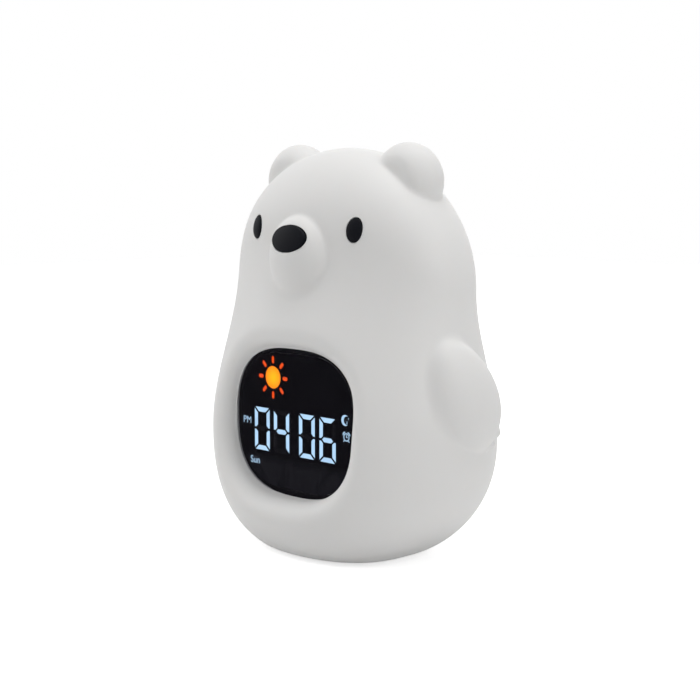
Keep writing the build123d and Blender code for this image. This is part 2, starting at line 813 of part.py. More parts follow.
with BuildPart() as rear_holes:
    add(upright_post(0, BASE_Y, CASE_FLOOR_Z, base_boss_top_z, speaker_opening))
    for x, y in base_screws_at:
        add(upright_post(x, y, CASE_FLOOR_Z, base_hole_top_z, hole_radius))
    for x, z in CASE_SCREW_PLACES:
        add(post(x, SPLIT_Y, CASE_SCREW_SEAT, z, hole_radius))
        add(post(x, CASE_SCREW_SEAT, BELLY_BACK, z, head_hole_radius))
    for x, z in main_posts:
        add(post(x, MAIN_BOARD_Y, MAIN_BOARD_FRONT_Y + BOARD_SCREW_LONG + SCREW_GAP, z, hole_radius))
    for x, y in light_screws_at:
        add(upright_post(x, y, SHELF_Z, SHELF_TOP_Z, hole_radius))
    add(panel_slab(PANEL_GAP, PANEL_CORNER + PANEL_GAP, PANEL_BACK_Y, BELLY_BACK))
    add(panel_slab(-PANEL_FRAME, PANEL_CORNER - PANEL_FRAME, TACT_TOP_Y, BELLY_BACK))

with BuildPart() as rear_shell:
    add(case_outside)
    add(case_half(rear=True), mode=Mode.INTERSECT)
    add(case_inside, mode=Mode.SUBTRACT)
    add(rear_fittings.part)
    add(rear_holes.part, mode=Mode.SUBTRACT)
save(rear_shell, "rear_shell")

# ---------------------------------------------------------------- display board


def chip_box(x, y_front, z, wide, deep, high):
    """Box standing between y_front and y_front + deep, centred on x and z."""
    with BuildPart() as chip:
        with BuildSketch(facing(y_front + deep)):
            with Locations((x, z)):
                Rectangle(wide, high)
        extrude(amount=deep)
    return chip.part


with BuildPart() as display_board:
    with BuildSketch(facing(DISPLAY_BOARD_BACK_Y)):
        with Locations((0, WINDOW_Z)):
            Rectangle(DISPLAY_BOARD_WIDE, DISPLAY_BOARD_HIGH)
        with Locations(*display_posts):
            Circle(hole_radius, mode=Mode.SUBTRACT)
    extrude(amount=BOARD_THICK)
save(display_board, "display_board")

with BuildPart() as display_leds:
    with BuildSketch(facing(REFLECTOR_BACK_Y)):
        for faces in light_groups.values():
            for lit_face in [face for group in faces for face in group.faces()]:
                with Locations((lit_face.center().X, lit_face.center().Y)):
                    Rectangle(DISPLAY_LED, DISPLAY_LED)
    extrude(amount=LED_THICK)
save(display_leds, "display_leds")

with BuildPart() as display_driver:
    add(chip_box(0, DISPLAY_BOARD_BACK_Y, DRIVER_Z, DRIVER_WIDE, CHIP_THICK, CHIP_HIGH))
save(display_driver, "display_driver")

# ---------------------------------------------------------------- rear control panel

with BuildPart() as rear_panel:
    add(panel_slab(0, PANEL_CORNER, PANEL_BACK_Y, PANEL_FACE_Y))
    fillet(rear_panel.edges().group_by(Axis.Y)[-1], PANEL_THICK / 4)
    with BuildSketch(facing(PANEL_FACE_Y)):
        for name, x, z in button_places():
            with Locations((x, z)):
                SlotOverall(BUTTON_WIDE + 2 * BUTTON_GAP, BUTTON_HIGH + 2 * BUTTON_GAP)
        with Locations((SWITCH_X, CONTROL_ROW_Z)):
            RectangleRounded(
                SWITCH_KNOB_WIDE + SWITCH_TRAVEL + 2 * BUTTON_GAP,
                SWITCH_KNOB_HIGH + 2 * BUTTON_GAP,
                SWITCH_STEM / 4,
            )
        with Locations((USB_X, CONTROL_ROW_Z)):
            SlotOverall(USB_WIDE + 2 * BUTTON_GAP, USB_HIGH + 2 * BUTTON_GAP)
    extrude(amount=PANEL_THICK, mode=Mode.SUBTRACT)
save(rear_panel, "rear_panel")

flange_face_y = PANEL_BACK_Y - STOP_GAP
flange_back_y = flange_face_y - BUTTON_FLANGE_THICK

for name, x, z in button_places():
    with BuildPart() as button:
        with BuildSketch(facing(PANEL_FACE_Y + BUTTON_STAND)):
            with Locations((x, z)):
                SlotOverall(BUTTON_WIDE, BUTTON_HIGH)
        extrude(amount=PANEL_THICK + BUTTON_STAND + STOP_GAP)
        fillet(button.edges().group_by(Axis.Y)[-1], BUTTON_STAND / 3)
        with BuildSketch(facing(flange_face_y)):
            with Locations((x, z)):
                SlotOverall(BUTTON_WIDE + 2 * BUTTON_FLANGE, BUTTON_HIGH + 2 * BUTTON_FLANGE)
        extrude(amount=BUTTON_FLANGE_THICK)
        add(post(x, PLUNGER_TOP_Y, flange_back_y, z, PLUNGER_RADIUS))
    save(button, f"button_{name}")

    with BuildPart() as plunger:
        add(post(x, TACT_TOP_Y - PLUNGER_SUNK, PLUNGER_TOP_Y, z, PLUNGER_RADIUS))
    save(plunger, f"switch_plunger_{name}")

plunger_room = PLUNGER_SUNK + BUTTON_TRAVEL + 2 * PLUNGER_GAP

with BuildPart() as tact_switches:
    for name, x, z in button_places():
        add(chip_box(x, MAIN_BOARD_Y, z, TACT_SIZE, TACT_DEEP, TACT_SIZE))
    for name, x, z in button_places():
        add(
            post(x, TACT_TOP_Y - plunger_room, TACT_TOP_Y, z, PLUNGER_RADIUS + PLUNGER_GAP),
            mode=Mode.SUBTRACT,
        )
save(tact_switches, "tact_switches")

# ---------------------------------------------------------------- power switch

switch_body_top_y = MAIN_BOARD_Y + SWITCH_BODY_DEEP
stem_bottom_y = MAIN_BOARD_Y + SWITCH_BODY_DEEP / 3

with BuildPart() as power_switch_body:
    add(chip_box(SWITCH_X, MAIN_BOARD_Y, CONTROL_ROW_Z, SWITCH_BODY_WIDE, SWITCH_BODY_DEEP, SWITCH_BODY_HIGH))
    with BuildSketch(facing(switch_body_top_y)):
        with Locations((SWITCH_X, CONTROL_ROW_Z)):
            Rectangle(SWITCH_STEM + SWITCH_TRAVEL + 2 * PLUNGER_GAP, SWITCH_STEM + 2 * PLUNGER_GAP)
    extrude(amount=switch_body_top_y - stem_bottom_y + PLUNGER_GAP, mode=Mode.SUBTRACT)
save(power_switch_body, "power_switch_body")

knob_x = SWITCH_X - SWITCH_TRAVEL / 2

with BuildPart() as power_switch_knob:
    add(
        chip_box(
            knob_x,
            flange_face_y - SWITCH_PLATE_THICK,
            CONTROL_ROW_Z,
            SWITCH_PLATE_WIDE,
            SWITCH_PLATE_THICK,
            SWITCH_PLATE_HIGH,
        )
    )
    knob_deep = PANEL_FACE_Y + SWITCH_KNOB_STAND - flange_face_y
    add(chip_box(knob_x, flange_face_y, CONTROL_ROW_Z, SWITCH_KNOB_WIDE, knob_deep, SWITCH_KNOB_HIGH))
    fillet(power_switch_knob.edges().group_by(Axis.Y)[-1], SWITCH_KNOB_STAND / 3)
    stem_long = flange_face_y - SWITCH_PLATE_THICK - stem_bottom_y
    add(chip_box(knob_x, stem_bottom_y, CONTROL_ROW_Z, SWITCH_STEM, stem_long, SWITCH_STEM))
save(power_switch_knob, "power_switch_knob")

# ---------------------------------------------------------------- charging socket

with BuildPart() as usb_socket:
    with BuildSketch(facing(PANEL_FACE_Y)):
        with Locations((USB_X, CONTROL_ROW_Z)):
            SlotOverall(USB_WIDE, USB_HIGH)
    extrude(amount=PANEL_FACE_Y - MAIN_BOARD_Y)
    with BuildSketch(facing(PANEL_FACE_Y)):
        with Locations((USB_X, CONTROL_ROW_Z)):
            SlotOverall(USB_WIDE - 2 * USB_WALL, USB_HIGH - 2 * USB_WALL)
    extrude(amount=PANEL_FACE_Y - MAIN_BOARD_Y - USB_FLOOR, mode=Mode.SUBTRACT)
save(usb_socket, "usb_socket")

with BuildPart() as usb_tongue:
    tongue_deep = PANEL_FACE_Y - MAIN_BOARD_Y - USB_FLOOR - USB_TONGUE_SUNK
    add(
        chip_box(
            USB_X,
            MAIN_BOARD_Y + USB_FLOOR,
            CONTROL_ROW_Z,
            USB_TONGUE_WIDE,
            tongue_deep,
            USB_TONGUE_THICK,
        )
    )
save(usb_tongue, "usb_tongue")

# ---------------------------------------------------------------- main board and what it carries

with BuildPart() as main_board:
    with BuildSketch(facing(MAIN_BOARD_Y)):
        with Locations((0, MAIN_BOARD_LOW + MAIN_BOARD_HIGH / 2)):
            RectangleRounded(MAIN_BOARD_WIDE, MAIN_BOARD_HIGH, MAIN_BOARD_CORNER)
        with Locations(*main_posts):
            Circle(hole_radius, mode=Mode.SUBTRACT)
    extrude(amount=BOARD_THICK)
save(main_board, "main_board")

with BuildPart() as clock_chip:
    add(chip_box(-CHIP_X, MAIN_BOARD_Y, TOP_ROW_Z, CHIP_WIDE, CHIP_THICK, CHIP_HIGH))
save(clock_chip, "clock_chip")

with BuildPart() as tap_sensor:
    with BuildSketch(Plane.YZ.offset(CHIP_X - SENSOR_LONG / 2)):
        with Locations((MAIN_BOARD_Y + SENSOR_RADIUS, TOP_ROW_Z)):
            Circle(SENSOR_RADIUS)
    extrude(amount=SENSOR_LONG)
save(tap_sensor, "tap_sensor")

socket_face_y = MAIN_BOARD_FRONT_Y - SOCKET_DEEP
ribbon_socket_y = DISPLAY_BOARD_BACK_Y + RIBBON_SOCKET_DEEP

with BuildPart() as board_sockets:
    add(chip_box(0, socket_face_y, TOP_ROW_Z, RIBBON_SOCKET_WIDE, SOCKET_DEEP, SOCKET_HIGH))
    for x in (-SOCKET_X, SOCKET_X):
        add(chip_box(x, socket_face_y, TOP_ROW_Z, SOCKET_WIDE, SOCKET_DEEP, SOCKET_HIGH))
    add(chip_box(0, socket_face_y, LOW_ROW_Z, SOCKET_WIDE, SOCKET_DEEP, SOCKET_HIGH))
    low_socket = (RIBBON_SOCKET_WIDE, RIBBON_SOCKET_DEEP, SOCKET_HIGH)
    add(chip_box(0, DISPLAY_BOARD_BACK_Y, RIBBON_LOW_Z, *low_socket))
save(board_sockets, "board_sockets")

with BuildPart() as battery_tape:
    battery_z = BATTERY_LOW + BATTERY_HIGH / 2
    tape_front_y = MAIN_BOARD_FRONT_Y - TAPE_THICK
    tape_wide, tape_high = TAPE_SHARE * BATTERY_WIDE, TAPE_SHARE * BATTERY_HIGH
    add(chip_box(0, tape_front_y, battery_z, tape_wide, TAPE_THICK, tape_high))
save(battery_tape, "battery_tape")

with BuildPart() as battery_cell:
    add(chip_box(0, tape_front_y - BATTERY_THICK, battery_z, BATTERY_WIDE, BATTERY_THICK, BATTERY_HIGH))
    fillet(battery_cell.edges().filter_by(Axis.Z), BATTERY_CORNER)
save(battery_cell, "battery_cell")

# ---------------------------------------------------------------- night light

with BuildPart() as light_board:
    with BuildSketch(Plane.XY.offset(SHELF_TOP_Z)):
        with Locations((0, LIGHT_Y)):
            Circle(LIGHT_BOARD_RADIUS)
        with Locations(*light_screws_at):
            Circle(hole_radius, mode=Mode.SUBTRACT)
    extrude(amount=BOARD_THICK)
save(light_board, "light_board")

with BuildPart() as light_leds:
    with BuildSketch(Plane.XY.offset(LIGHT_BOARD_TOP_Z)):
        with Locations((0, LIGHT_Y)):
            with PolarLocations(LIGHT_LED_RING, LIGHT_LED_COUNT):
                Rectangle(LED_LONG, LED_WIDE)
            Rectangle(LED_LONG, LED_WIDE)
    extrude(amount=LED_THICK)
save(light_leds, "light_leds")

diffuser_rim = DIFFUSER_RADIUS - DIFFUSER_WALL
diffuser_top_z = LIGHT_BOARD_TOP_Z + DIFFUSER_RADIUS
diffuser_align = (Align.CENTER, Align.CENTER, Align.MIN)

with BuildPart() as light_diffuser:
    with Locations((0, LIGHT_Y, LIGHT_BOARD_TOP_Z)):
        Sphere(DIFFUSER_RADIUS, arc_size1=0, align=diffuser_align)
        Sphere(diffuser_rim, arc_size1=0, align=diffuser_align, mode=Mode.SUBTRACT)
    for x, y in light_screws_at:
        add(
            upright_post(x, y, LIGHT_BOARD_TOP_Z, diffuser_top_z, SCREW_HEAD_RADIUS + DIFFUSER_WALL),
            mode=Mode.SUBTRACT,
        )
save(light_diffuser, "light_diffuser")

# ---------------------------------------------------------------- base, speaker and feet

foot_places = base_ring(FOOT_RING, 0)

with BuildPart() as base_cover:
    with BuildSketch(Plane.XY.offset(BASE_FACE_Z)):
        with Locations((0, BASE_Y)):
            Circle(BASE_RADIUS)
    extrude(amount=BASE_TOP_Z - BASE_FACE_Z)
    with BuildSketch(Plane.XY.offset(BASE_TOP_Z)):
        with Locations((0, BASE_Y)):
            Circle(speaker_opening - SPEAKER_SEAT_GAP)
            Circle(SPEAKER_RADIUS + SPEAKER_SEAT_GAP, mode=Mode.SUBTRACT)
    extrude(amount=SPEAKER_COLLAR_HIGH)
    with BuildSketch(Plane.XY.offset(BASE_FACE_Z)):
        for ring, count in GRILLE_RINGS:
            with Locations((0, BASE_Y)):
                with PolarLocations(ring, count):
                    Circle(GRILLE_HOLE)
        with Locations(*base_screws_at):
            Circle(hole_radius)
    extrude(amount=BASE_TOP_Z - BASE_FACE_Z, mode=Mode.SUBTRACT)
    with BuildSketch(Plane.XY.offset(BASE_FACE_Z)):
        with Locations(*base_screws_at):
            Circle(head_hole_radius)
    extrude(amount=SCREW_HEAD_HIGH, mode=Mode.SUBTRACT)
    with BuildSketch(Plane.XY.offset(BASE_FACE_Z)):
        with Locations(*foot_places):
            Circle(FOOT_RADIUS + FOOT_GAP)
    extrude(amount=FOOT_SUNK, mode=Mode.SUBTRACT)
save(base_cover, "base_cover")

with BuildPart() as rubber_feet:
    with BuildSketch():
        with Locations(*foot_places):
            Circle(FOOT_RADIUS)
    extrude(amount=BASE_FACE_Z + FOOT_SUNK)
    chamfer(rubber_feet.edges().group_by(Axis.Z)[0], FOOT_SUNK / 2)
save(rubber_feet, "rubber_feet")

speaker_plane = Plane(origin=(0, BASE_Y, BASE_TOP_Z), x_dir=(1, 0, 0), z_dir=(0, -1, 0))
speaker_axis = Axis((0, BASE_Y, BASE_TOP_Z), (0, 0, 1))
basket_high = SPEAKER_BASKET_TOP - BASE_TOP_Z
basket_outline = (
    (CONE_RADIUS + CONE_EDGE_GAP, 0),
    (SPEAKER_RADIUS, 0),
    (SPEAKER_RADIUS, SPEAKER_FLANGE),
    (SPEAKER_RADIUS - BASKET_WALL, SPEAKER_FLANGE),
    (MAGNET_RADIUS + BASKET_WALL, basket_high),
    (0, basket_high),
    (0, basket_high - BASKET_WALL),
    (MAGNET_RADIUS, basket_high - BASKET_WALL),
    (CONE_RADIUS + CONE_EDGE_GAP, SPEAKER_FLANGE),
)
cone_outline = (
    (CONE_RADIUS, CONE_LIFT),
    (CONE_RADIUS, CONE_LIFT + CONE_WALL),
    (CONE_NECK, CONE_LIFT + CONE_HIGH),
    (0, CONE_LIFT + CONE_HIGH),
    (0, CONE_LIFT + CONE_HIGH - CONE_WALL),
    (CONE_NECK - CONE_WALL / 2, CONE_LIFT + CONE_HIGH - CONE_WALL),
)

for name, outline in {"speaker_frame": basket_outline, "speaker_cone": cone_outline}.items():
    with BuildPart() as turned:
        with BuildSketch(speaker_plane):
            with BuildLine():
                Polyline(*outline, close=True)
            make_face()
        revolve(axis=speaker_axis)
    save(turned, name)

with BuildPart() as speaker_magnet:
    add(upright_post(0, BASE_Y, SPEAKER_BASKET_TOP, SPEAKER_BASKET_TOP + MAGNET_HIGH, MAGNET_RADIUS))
save(speaker_magnet, "speaker_magnet")

# ---------------------------------------------------------------- screws

with BuildPart() as case_screws:
    for x, z in CASE_SCREW_PLACES:
        with Locations(Location((x, CASE_SCREW_SEAT, z), (-90, 0, 0))):
            add(screw_form(CASE_SCREW_LONG))
save(case_screws, "case_screws")

with BuildPart() as board_screws:
    for x, z in display_posts:
        with Locations(Location((x, DISPLAY_BOARD_BACK_Y, z), (-90, 0, 0))):
            add(screw_form(BOARD_SCREW_LONG))
    for x, z in main_posts:
        with Locations(Location((x, MAIN_BOARD_FRONT_Y, z), (90, 0, 0))):
            add(screw_form(BOARD_SCREW_LONG))
    for x, y in light_screws_at:
        with Locations((x, y, LIGHT_BOARD_TOP_Z)):
            add(screw_form(BOARD_THICK + SHELF_THICK))
save(board_screws, "board_screws")

with BuildPart() as base_screws:
    for x, y in base_screws_at:
        with Locations(Location((x, y, base_screw_seat_z), (180, 0, 0))):
            add(screw_form(BASE_SCREW_LONG))
save(base_screws, "base_screws")

# ---------------------------------------------------------------- ribbon and leads

with BuildPart() as ribbon_cable:
    ribbon_bend = (socket_face_y - ribbon_socket_y) / 3
    with BuildLine(Plane.YZ) as ribbon_path:
        FilletPolyline(
            (ribbon_socket_y, RIBBON_LOW_Z),
            (ribbon_socket_y + ribbon_bend, RIBBON_LOW_Z),
            (socket_face_y - ribbon_bend, TOP_ROW_Z),
            (socket_face_y, TOP_ROW_Z),
            radius=RIBBON_RADIUS,
        )
    with BuildSketch(Plane.XZ.offset(-ribbon_socket_y)):
        with Locations((0, RIBBON_LOW_Z)):
            Rectangle(RIBBON_WIDE, RIBBON_THICK)
    sweep(path=ribbon_path.wires()[0])
save(ribbon_cable, "ribbon_cable")
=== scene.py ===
"""Looks of a children's bear alarm clock with night light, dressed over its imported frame."""

import json
from math import cos, pi, radians, sin

import bpy
import numpy as np
import openvdb
from bpy.props import FloatProperty, FloatVectorProperty, PointerProperty
from mathutils import Euler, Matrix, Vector


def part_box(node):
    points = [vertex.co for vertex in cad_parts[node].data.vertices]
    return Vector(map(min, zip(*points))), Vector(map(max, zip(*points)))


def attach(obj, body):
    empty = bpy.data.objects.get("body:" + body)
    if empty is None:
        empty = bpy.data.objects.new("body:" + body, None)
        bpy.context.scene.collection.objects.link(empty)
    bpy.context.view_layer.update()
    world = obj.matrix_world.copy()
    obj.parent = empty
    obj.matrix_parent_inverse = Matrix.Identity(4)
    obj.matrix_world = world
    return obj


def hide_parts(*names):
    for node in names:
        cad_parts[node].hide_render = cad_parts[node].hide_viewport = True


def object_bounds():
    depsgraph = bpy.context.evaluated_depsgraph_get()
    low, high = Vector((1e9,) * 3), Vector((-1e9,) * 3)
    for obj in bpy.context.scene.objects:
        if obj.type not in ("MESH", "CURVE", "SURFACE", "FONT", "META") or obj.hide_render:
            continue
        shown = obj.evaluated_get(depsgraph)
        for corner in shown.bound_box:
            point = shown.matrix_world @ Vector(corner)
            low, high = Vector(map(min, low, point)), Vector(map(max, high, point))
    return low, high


bl_info = {
    "name": "Bear Night Light Clock",
    "version": (1, 0, 0),
    "blender": (4, 5, 0),
    "location": "View3D > Sidebar > Bear Clock",
    "description": "Builds the skin, face, display and finishes of a bear alarm clock",
    "category": "Object",
}

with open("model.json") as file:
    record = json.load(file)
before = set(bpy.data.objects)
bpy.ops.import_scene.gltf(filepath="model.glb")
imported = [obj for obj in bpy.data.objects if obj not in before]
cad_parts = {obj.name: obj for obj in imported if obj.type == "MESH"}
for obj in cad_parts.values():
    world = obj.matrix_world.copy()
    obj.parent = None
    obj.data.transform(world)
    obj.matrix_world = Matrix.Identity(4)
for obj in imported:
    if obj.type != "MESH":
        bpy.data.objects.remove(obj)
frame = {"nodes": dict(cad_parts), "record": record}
CAD_BOX = [[float(value) for value in corner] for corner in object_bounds()]
MM = 0.001
CASE = "case"


# ---------------------------------------------------------------- settings


def length(name, description, millimetres):
    """Length property with its default given in millimetres."""
    return FloatProperty(name=name, description=description, default=millimetres * MM, unit="LENGTH")


def number(name, description, value):
    """Plain number property."""
    return FloatProperty(name=name, description=description, default=value)


def angle(name, description, degrees):
    """Angle property with its default given in degrees."""
    return FloatProperty(name=name, description=description, default=radians(degrees), unit="ROTATION")


def colour(name, description, red, green, blue):
    """Colour property in scene-linear values."""
    tone = (red, green, blue)
    return FloatVectorProperty(name=name, description=description, default=tone, subtype="COLOR")


class BEAR_PG_body(bpy.types.PropertyGroup):
    """Form of the soft body."""

    top: length("Top", "Height of the crown of the head", 142.6)
    floor: length("Floor", "Height of the body's flat underside", 0.6)
    floor_round: length("Floor rounding", "Rounding where the body meets its underside", 1.2)
    belly_z: length("Belly height", "Height of the widest part", 42.0)
    belly_wide: length("Belly half width", "Half width at the belly", 57.0)
    belly_front: length("Belly front", "Reach of the belly to the front", 40.9)
    belly_back: length("Belly back", "Reach of the belly to the back", 41.4)
    head_z: length("Head height", "Height where the head starts to dome", 94.0)
    head_wide: length("Head half width", "Half width of the head", 50.5)
    head_back: length("Head back", "Reach of the head to the back", 31.3)
    face_z: length("Face height", "Height where the face starts to dome", 112.0)
    face_front: length("Face front", "Reach of the face to the front", 25.5)
    under_sink: length("Under sink", "How far under the floor the round underside would close", 5.0)
    plan_power: number("Plan power", "Squareness of the body seen from above", 2.2)
    dome_power: number("Dome power", "Squareness of the head seen from the side", 2.0)
    under_power: number("Under power", "Squareness of the underside", 2.2)
    under_front_power: number("Under front power", "Squareness of the underside at the front", 3.2)
    wall: length("Wall", "Thickness of the soft skin", 3.0)


class BEAR_PG_features(bpy.types.PropertyGroup):
    """Ears, muzzle and arms."""

    ear_x: length("Ear X", "Distance of each ear from the middle", 27.0)
    ear_y: length("Ear Y", "Place of the ears front to back", 0.9)
    ear_z: length("Ear Z", "Height of the ears' centres", 130.9)
    ear_wide: length("Ear radius", "Radius of the ear seen from the front", 13.3)
    ear_deep: length("Ear depth", "Half thickness of the ear", 10.5)
    ear_cup: length("Ear cup", "Depth of the hollow in the front of the ear", 2.2)
    ear_blend: length("Ear blend", "Softness of the crease round the ear", 0.9)
    muzzle_z: length("Muzzle height", "Height of the muzzle's centre", 104.7)
    muzzle_wide: length("Muzzle half width", "Half width of the muzzle", 14.9)
    muzzle_deep: length("Muzzle depth", "Half depth of the muzzle's egg", 10.1)
    muzzle_high: length("Muzzle half height", "Half height of the muzzle", 15.2)
    muzzle_stand: length("Muzzle stand", "How far the muzzle stands out of the face", 6.3)
    muzzle_crease: length("Muzzle crease", "Softness of the muzzle's upper edge", 0.7)
    muzzle_blend: length("Muzzle blend", "Softness of the muzzle's lower edge", 2.4)
    arm_x: length("Arm X", "Distance of each arm's centre from the middle", 51.1)
    arm_y: length("Arm Y", "Place of the arms front to back", 0.8)
    arm_z: length("Arm Z", "Height of the arms' centres", 58.5)
    arm_thick: length("Arm thickness", "Half thickness of the arm", 10.4)
    arm_deep: length("Arm depth", "Half width of the arm seen from the side", 15.0)
    arm_long: length("Arm length", "Half length of the arm", 21.2)
    arm_lean: angle("Arm lean", "How far the hand swings to the back", 23.5)
    arm_blend: length("Arm blend", "Softness of the arm's front edge", 2.5)
    arm_crease: length("Arm crease", "Softness of the crease behind the arm", 0.6)
    arm_swell: number("Arm swell", "How much fuller the arm is towards the hand", 0.16)
    finger_radius: length("Finger radius", "Radius of each finger tip", 1.9)
    eye_wide: length("Eye half width", "Half width of each eye", 3.05)
    eye_high: length("Eye half height", "Half height of each eye", 4.15)
    eye_turn: angle("Eye turn", "How far each eye faces to its side", 13.7)
    eye_roll: angle("Eye roll", "How far the top of each eye leans outward", 6.0)
    nose_wide: length("Nose half width", "Half width of the nose", 7.9)
    nose_high: length("Nose half height", "Half height of the nose", 4.75)
    nose_tilt: angle("Nose tilt", "How far the nose faces up", 8.0)
    nose_flat: number("Nose flatness", "How much flatter the nose is than the muzzle", 0.55)


class BEAR_PG_display(bpy.types.PropertyGroup):
    """Recess round the display window."""

    dish_round: length("Dish rounding", "Radius at which the belly rolls in to the window", 8.5)
    window_power: number("Window power", "Squareness of the window's outline", 2.7)
    window_gap: length("Window gap", "Gap between the window and the skin", 0.08)


class BEAR_PG_looks(bpy.types.PropertyGroup):
    """Colours of the finishes."""

    silicone: colour("Silicone", "Colour of the soft skin", 0.78, 0.775, 0.765)
    inlay: colour("Eyes and nose", "Colour of the eyes and nose", 0.006, 0.0065, 0.009)
    digits: colour("Digits", "Colour of the lit digits", 0.50, 0.76, 1.0)
    sun: colour("Sun", "Colour of the sun's disc", 1.0, 0.36, 0.0)
    rays: colour("Rays", "Colour of the sun's rays", 1.0, 0.085, 0.002)
    plastic: colour("Plastic", "Colour of the white mouldings", 0.72, 0.72, 0.71)
    buttons: colour("Buttons", "Colour of the rear buttons", 0.52, 0.53, 0.54)


# ---------------------------------------------------------------- the bear's form as a field
#
# A field gives each point its distance from the surface: negative inside, positive outside.


def smooth_min(first, second, softness):
    """Union of two fields with a soft crease."""
    share = np.clip(0.5 + 0.5 * (second - first) / softness, 0.0, 1.0)
    return second * (1 - share) + first * share - softness * share * (1 - share)


def smooth_max(first, second, softness):
    """Overlap of two fields with a soft edge."""
    return -smooth_min(-first, -second, softness)


def round_max(first, second, radius):
    """Overlap of two fields whose edge is rounded at a radius."""
    over = np.hypot(np.maximum(first + radius, 0.0), np.maximum(second + radius, 0.0)) - radius
    return np.where(np.maximum(first, second) < -radius, np.maximum(first, second), over)


def ease(share):
    """Smooth step from 0 to 1."""
    share = np.clip(share, 0.0, 1.0)
    return share * share * (3 - 2 * share)


def between(low, high, share):
    """Value a share of the way from low to high."""
    return low + (high - low) * share


def ellipsoid(points, centre, half_sizes):
    """Field of an ellipsoid."""
    offset = points - np.array(centre)
    level = np.linalg.norm(offset / half_sizes, axis=-1)
    slope = np.linalg.norm(offset / np.square(half_sizes), axis=-1)
    return level * (level - 1.0) / np.maximum(slope, 1e-9)


def true_distance(level, points, step=0.4 * MM):
    """A level that is zero on a surface, turned into a distance by its own slope."""
    here = level(points)
    rises = [(level(points + shift) - here) / step for shift in np.eye(3) * step]
    return here / np.maximum(np.sqrt(sum(rise * rise for rise in rises)), 1e-6)


def mirrored(points):
    """The points with those of the bear's right side moved over to its left side."""
    return np.concatenate([np.abs(points[..., :1]), points[..., 1:]], axis=-1)


def node_box(name):
    """Low corner, high corner and middle of a CAD node's box."""
    low, high = np.array(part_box(name))
    return low, high, (low + high) / 2


UPWARD = np.array((0.0, 0.0, 1.0))
# Finger tips at the back of the hand, as shares of the arm's half thickness, depth and length
FINGER_PLACES = np.array(((0.55, 0.39, -0.74), (0.49, 0.19, -0.87), (0.38, 0.0, -0.89)))
FINGER_CREASE = 0.6 * MM
LEAST_SWELL = 0.5
# How much the arm's edge softens to its front and to the shoulder
ROLL_AHEAD, ROLL_ALONG = 0.8, 1.2
# A ball presses the hollow into the front of each ear
EAR_BALL = 24 * MM
EAR_RIM = 3 * MM


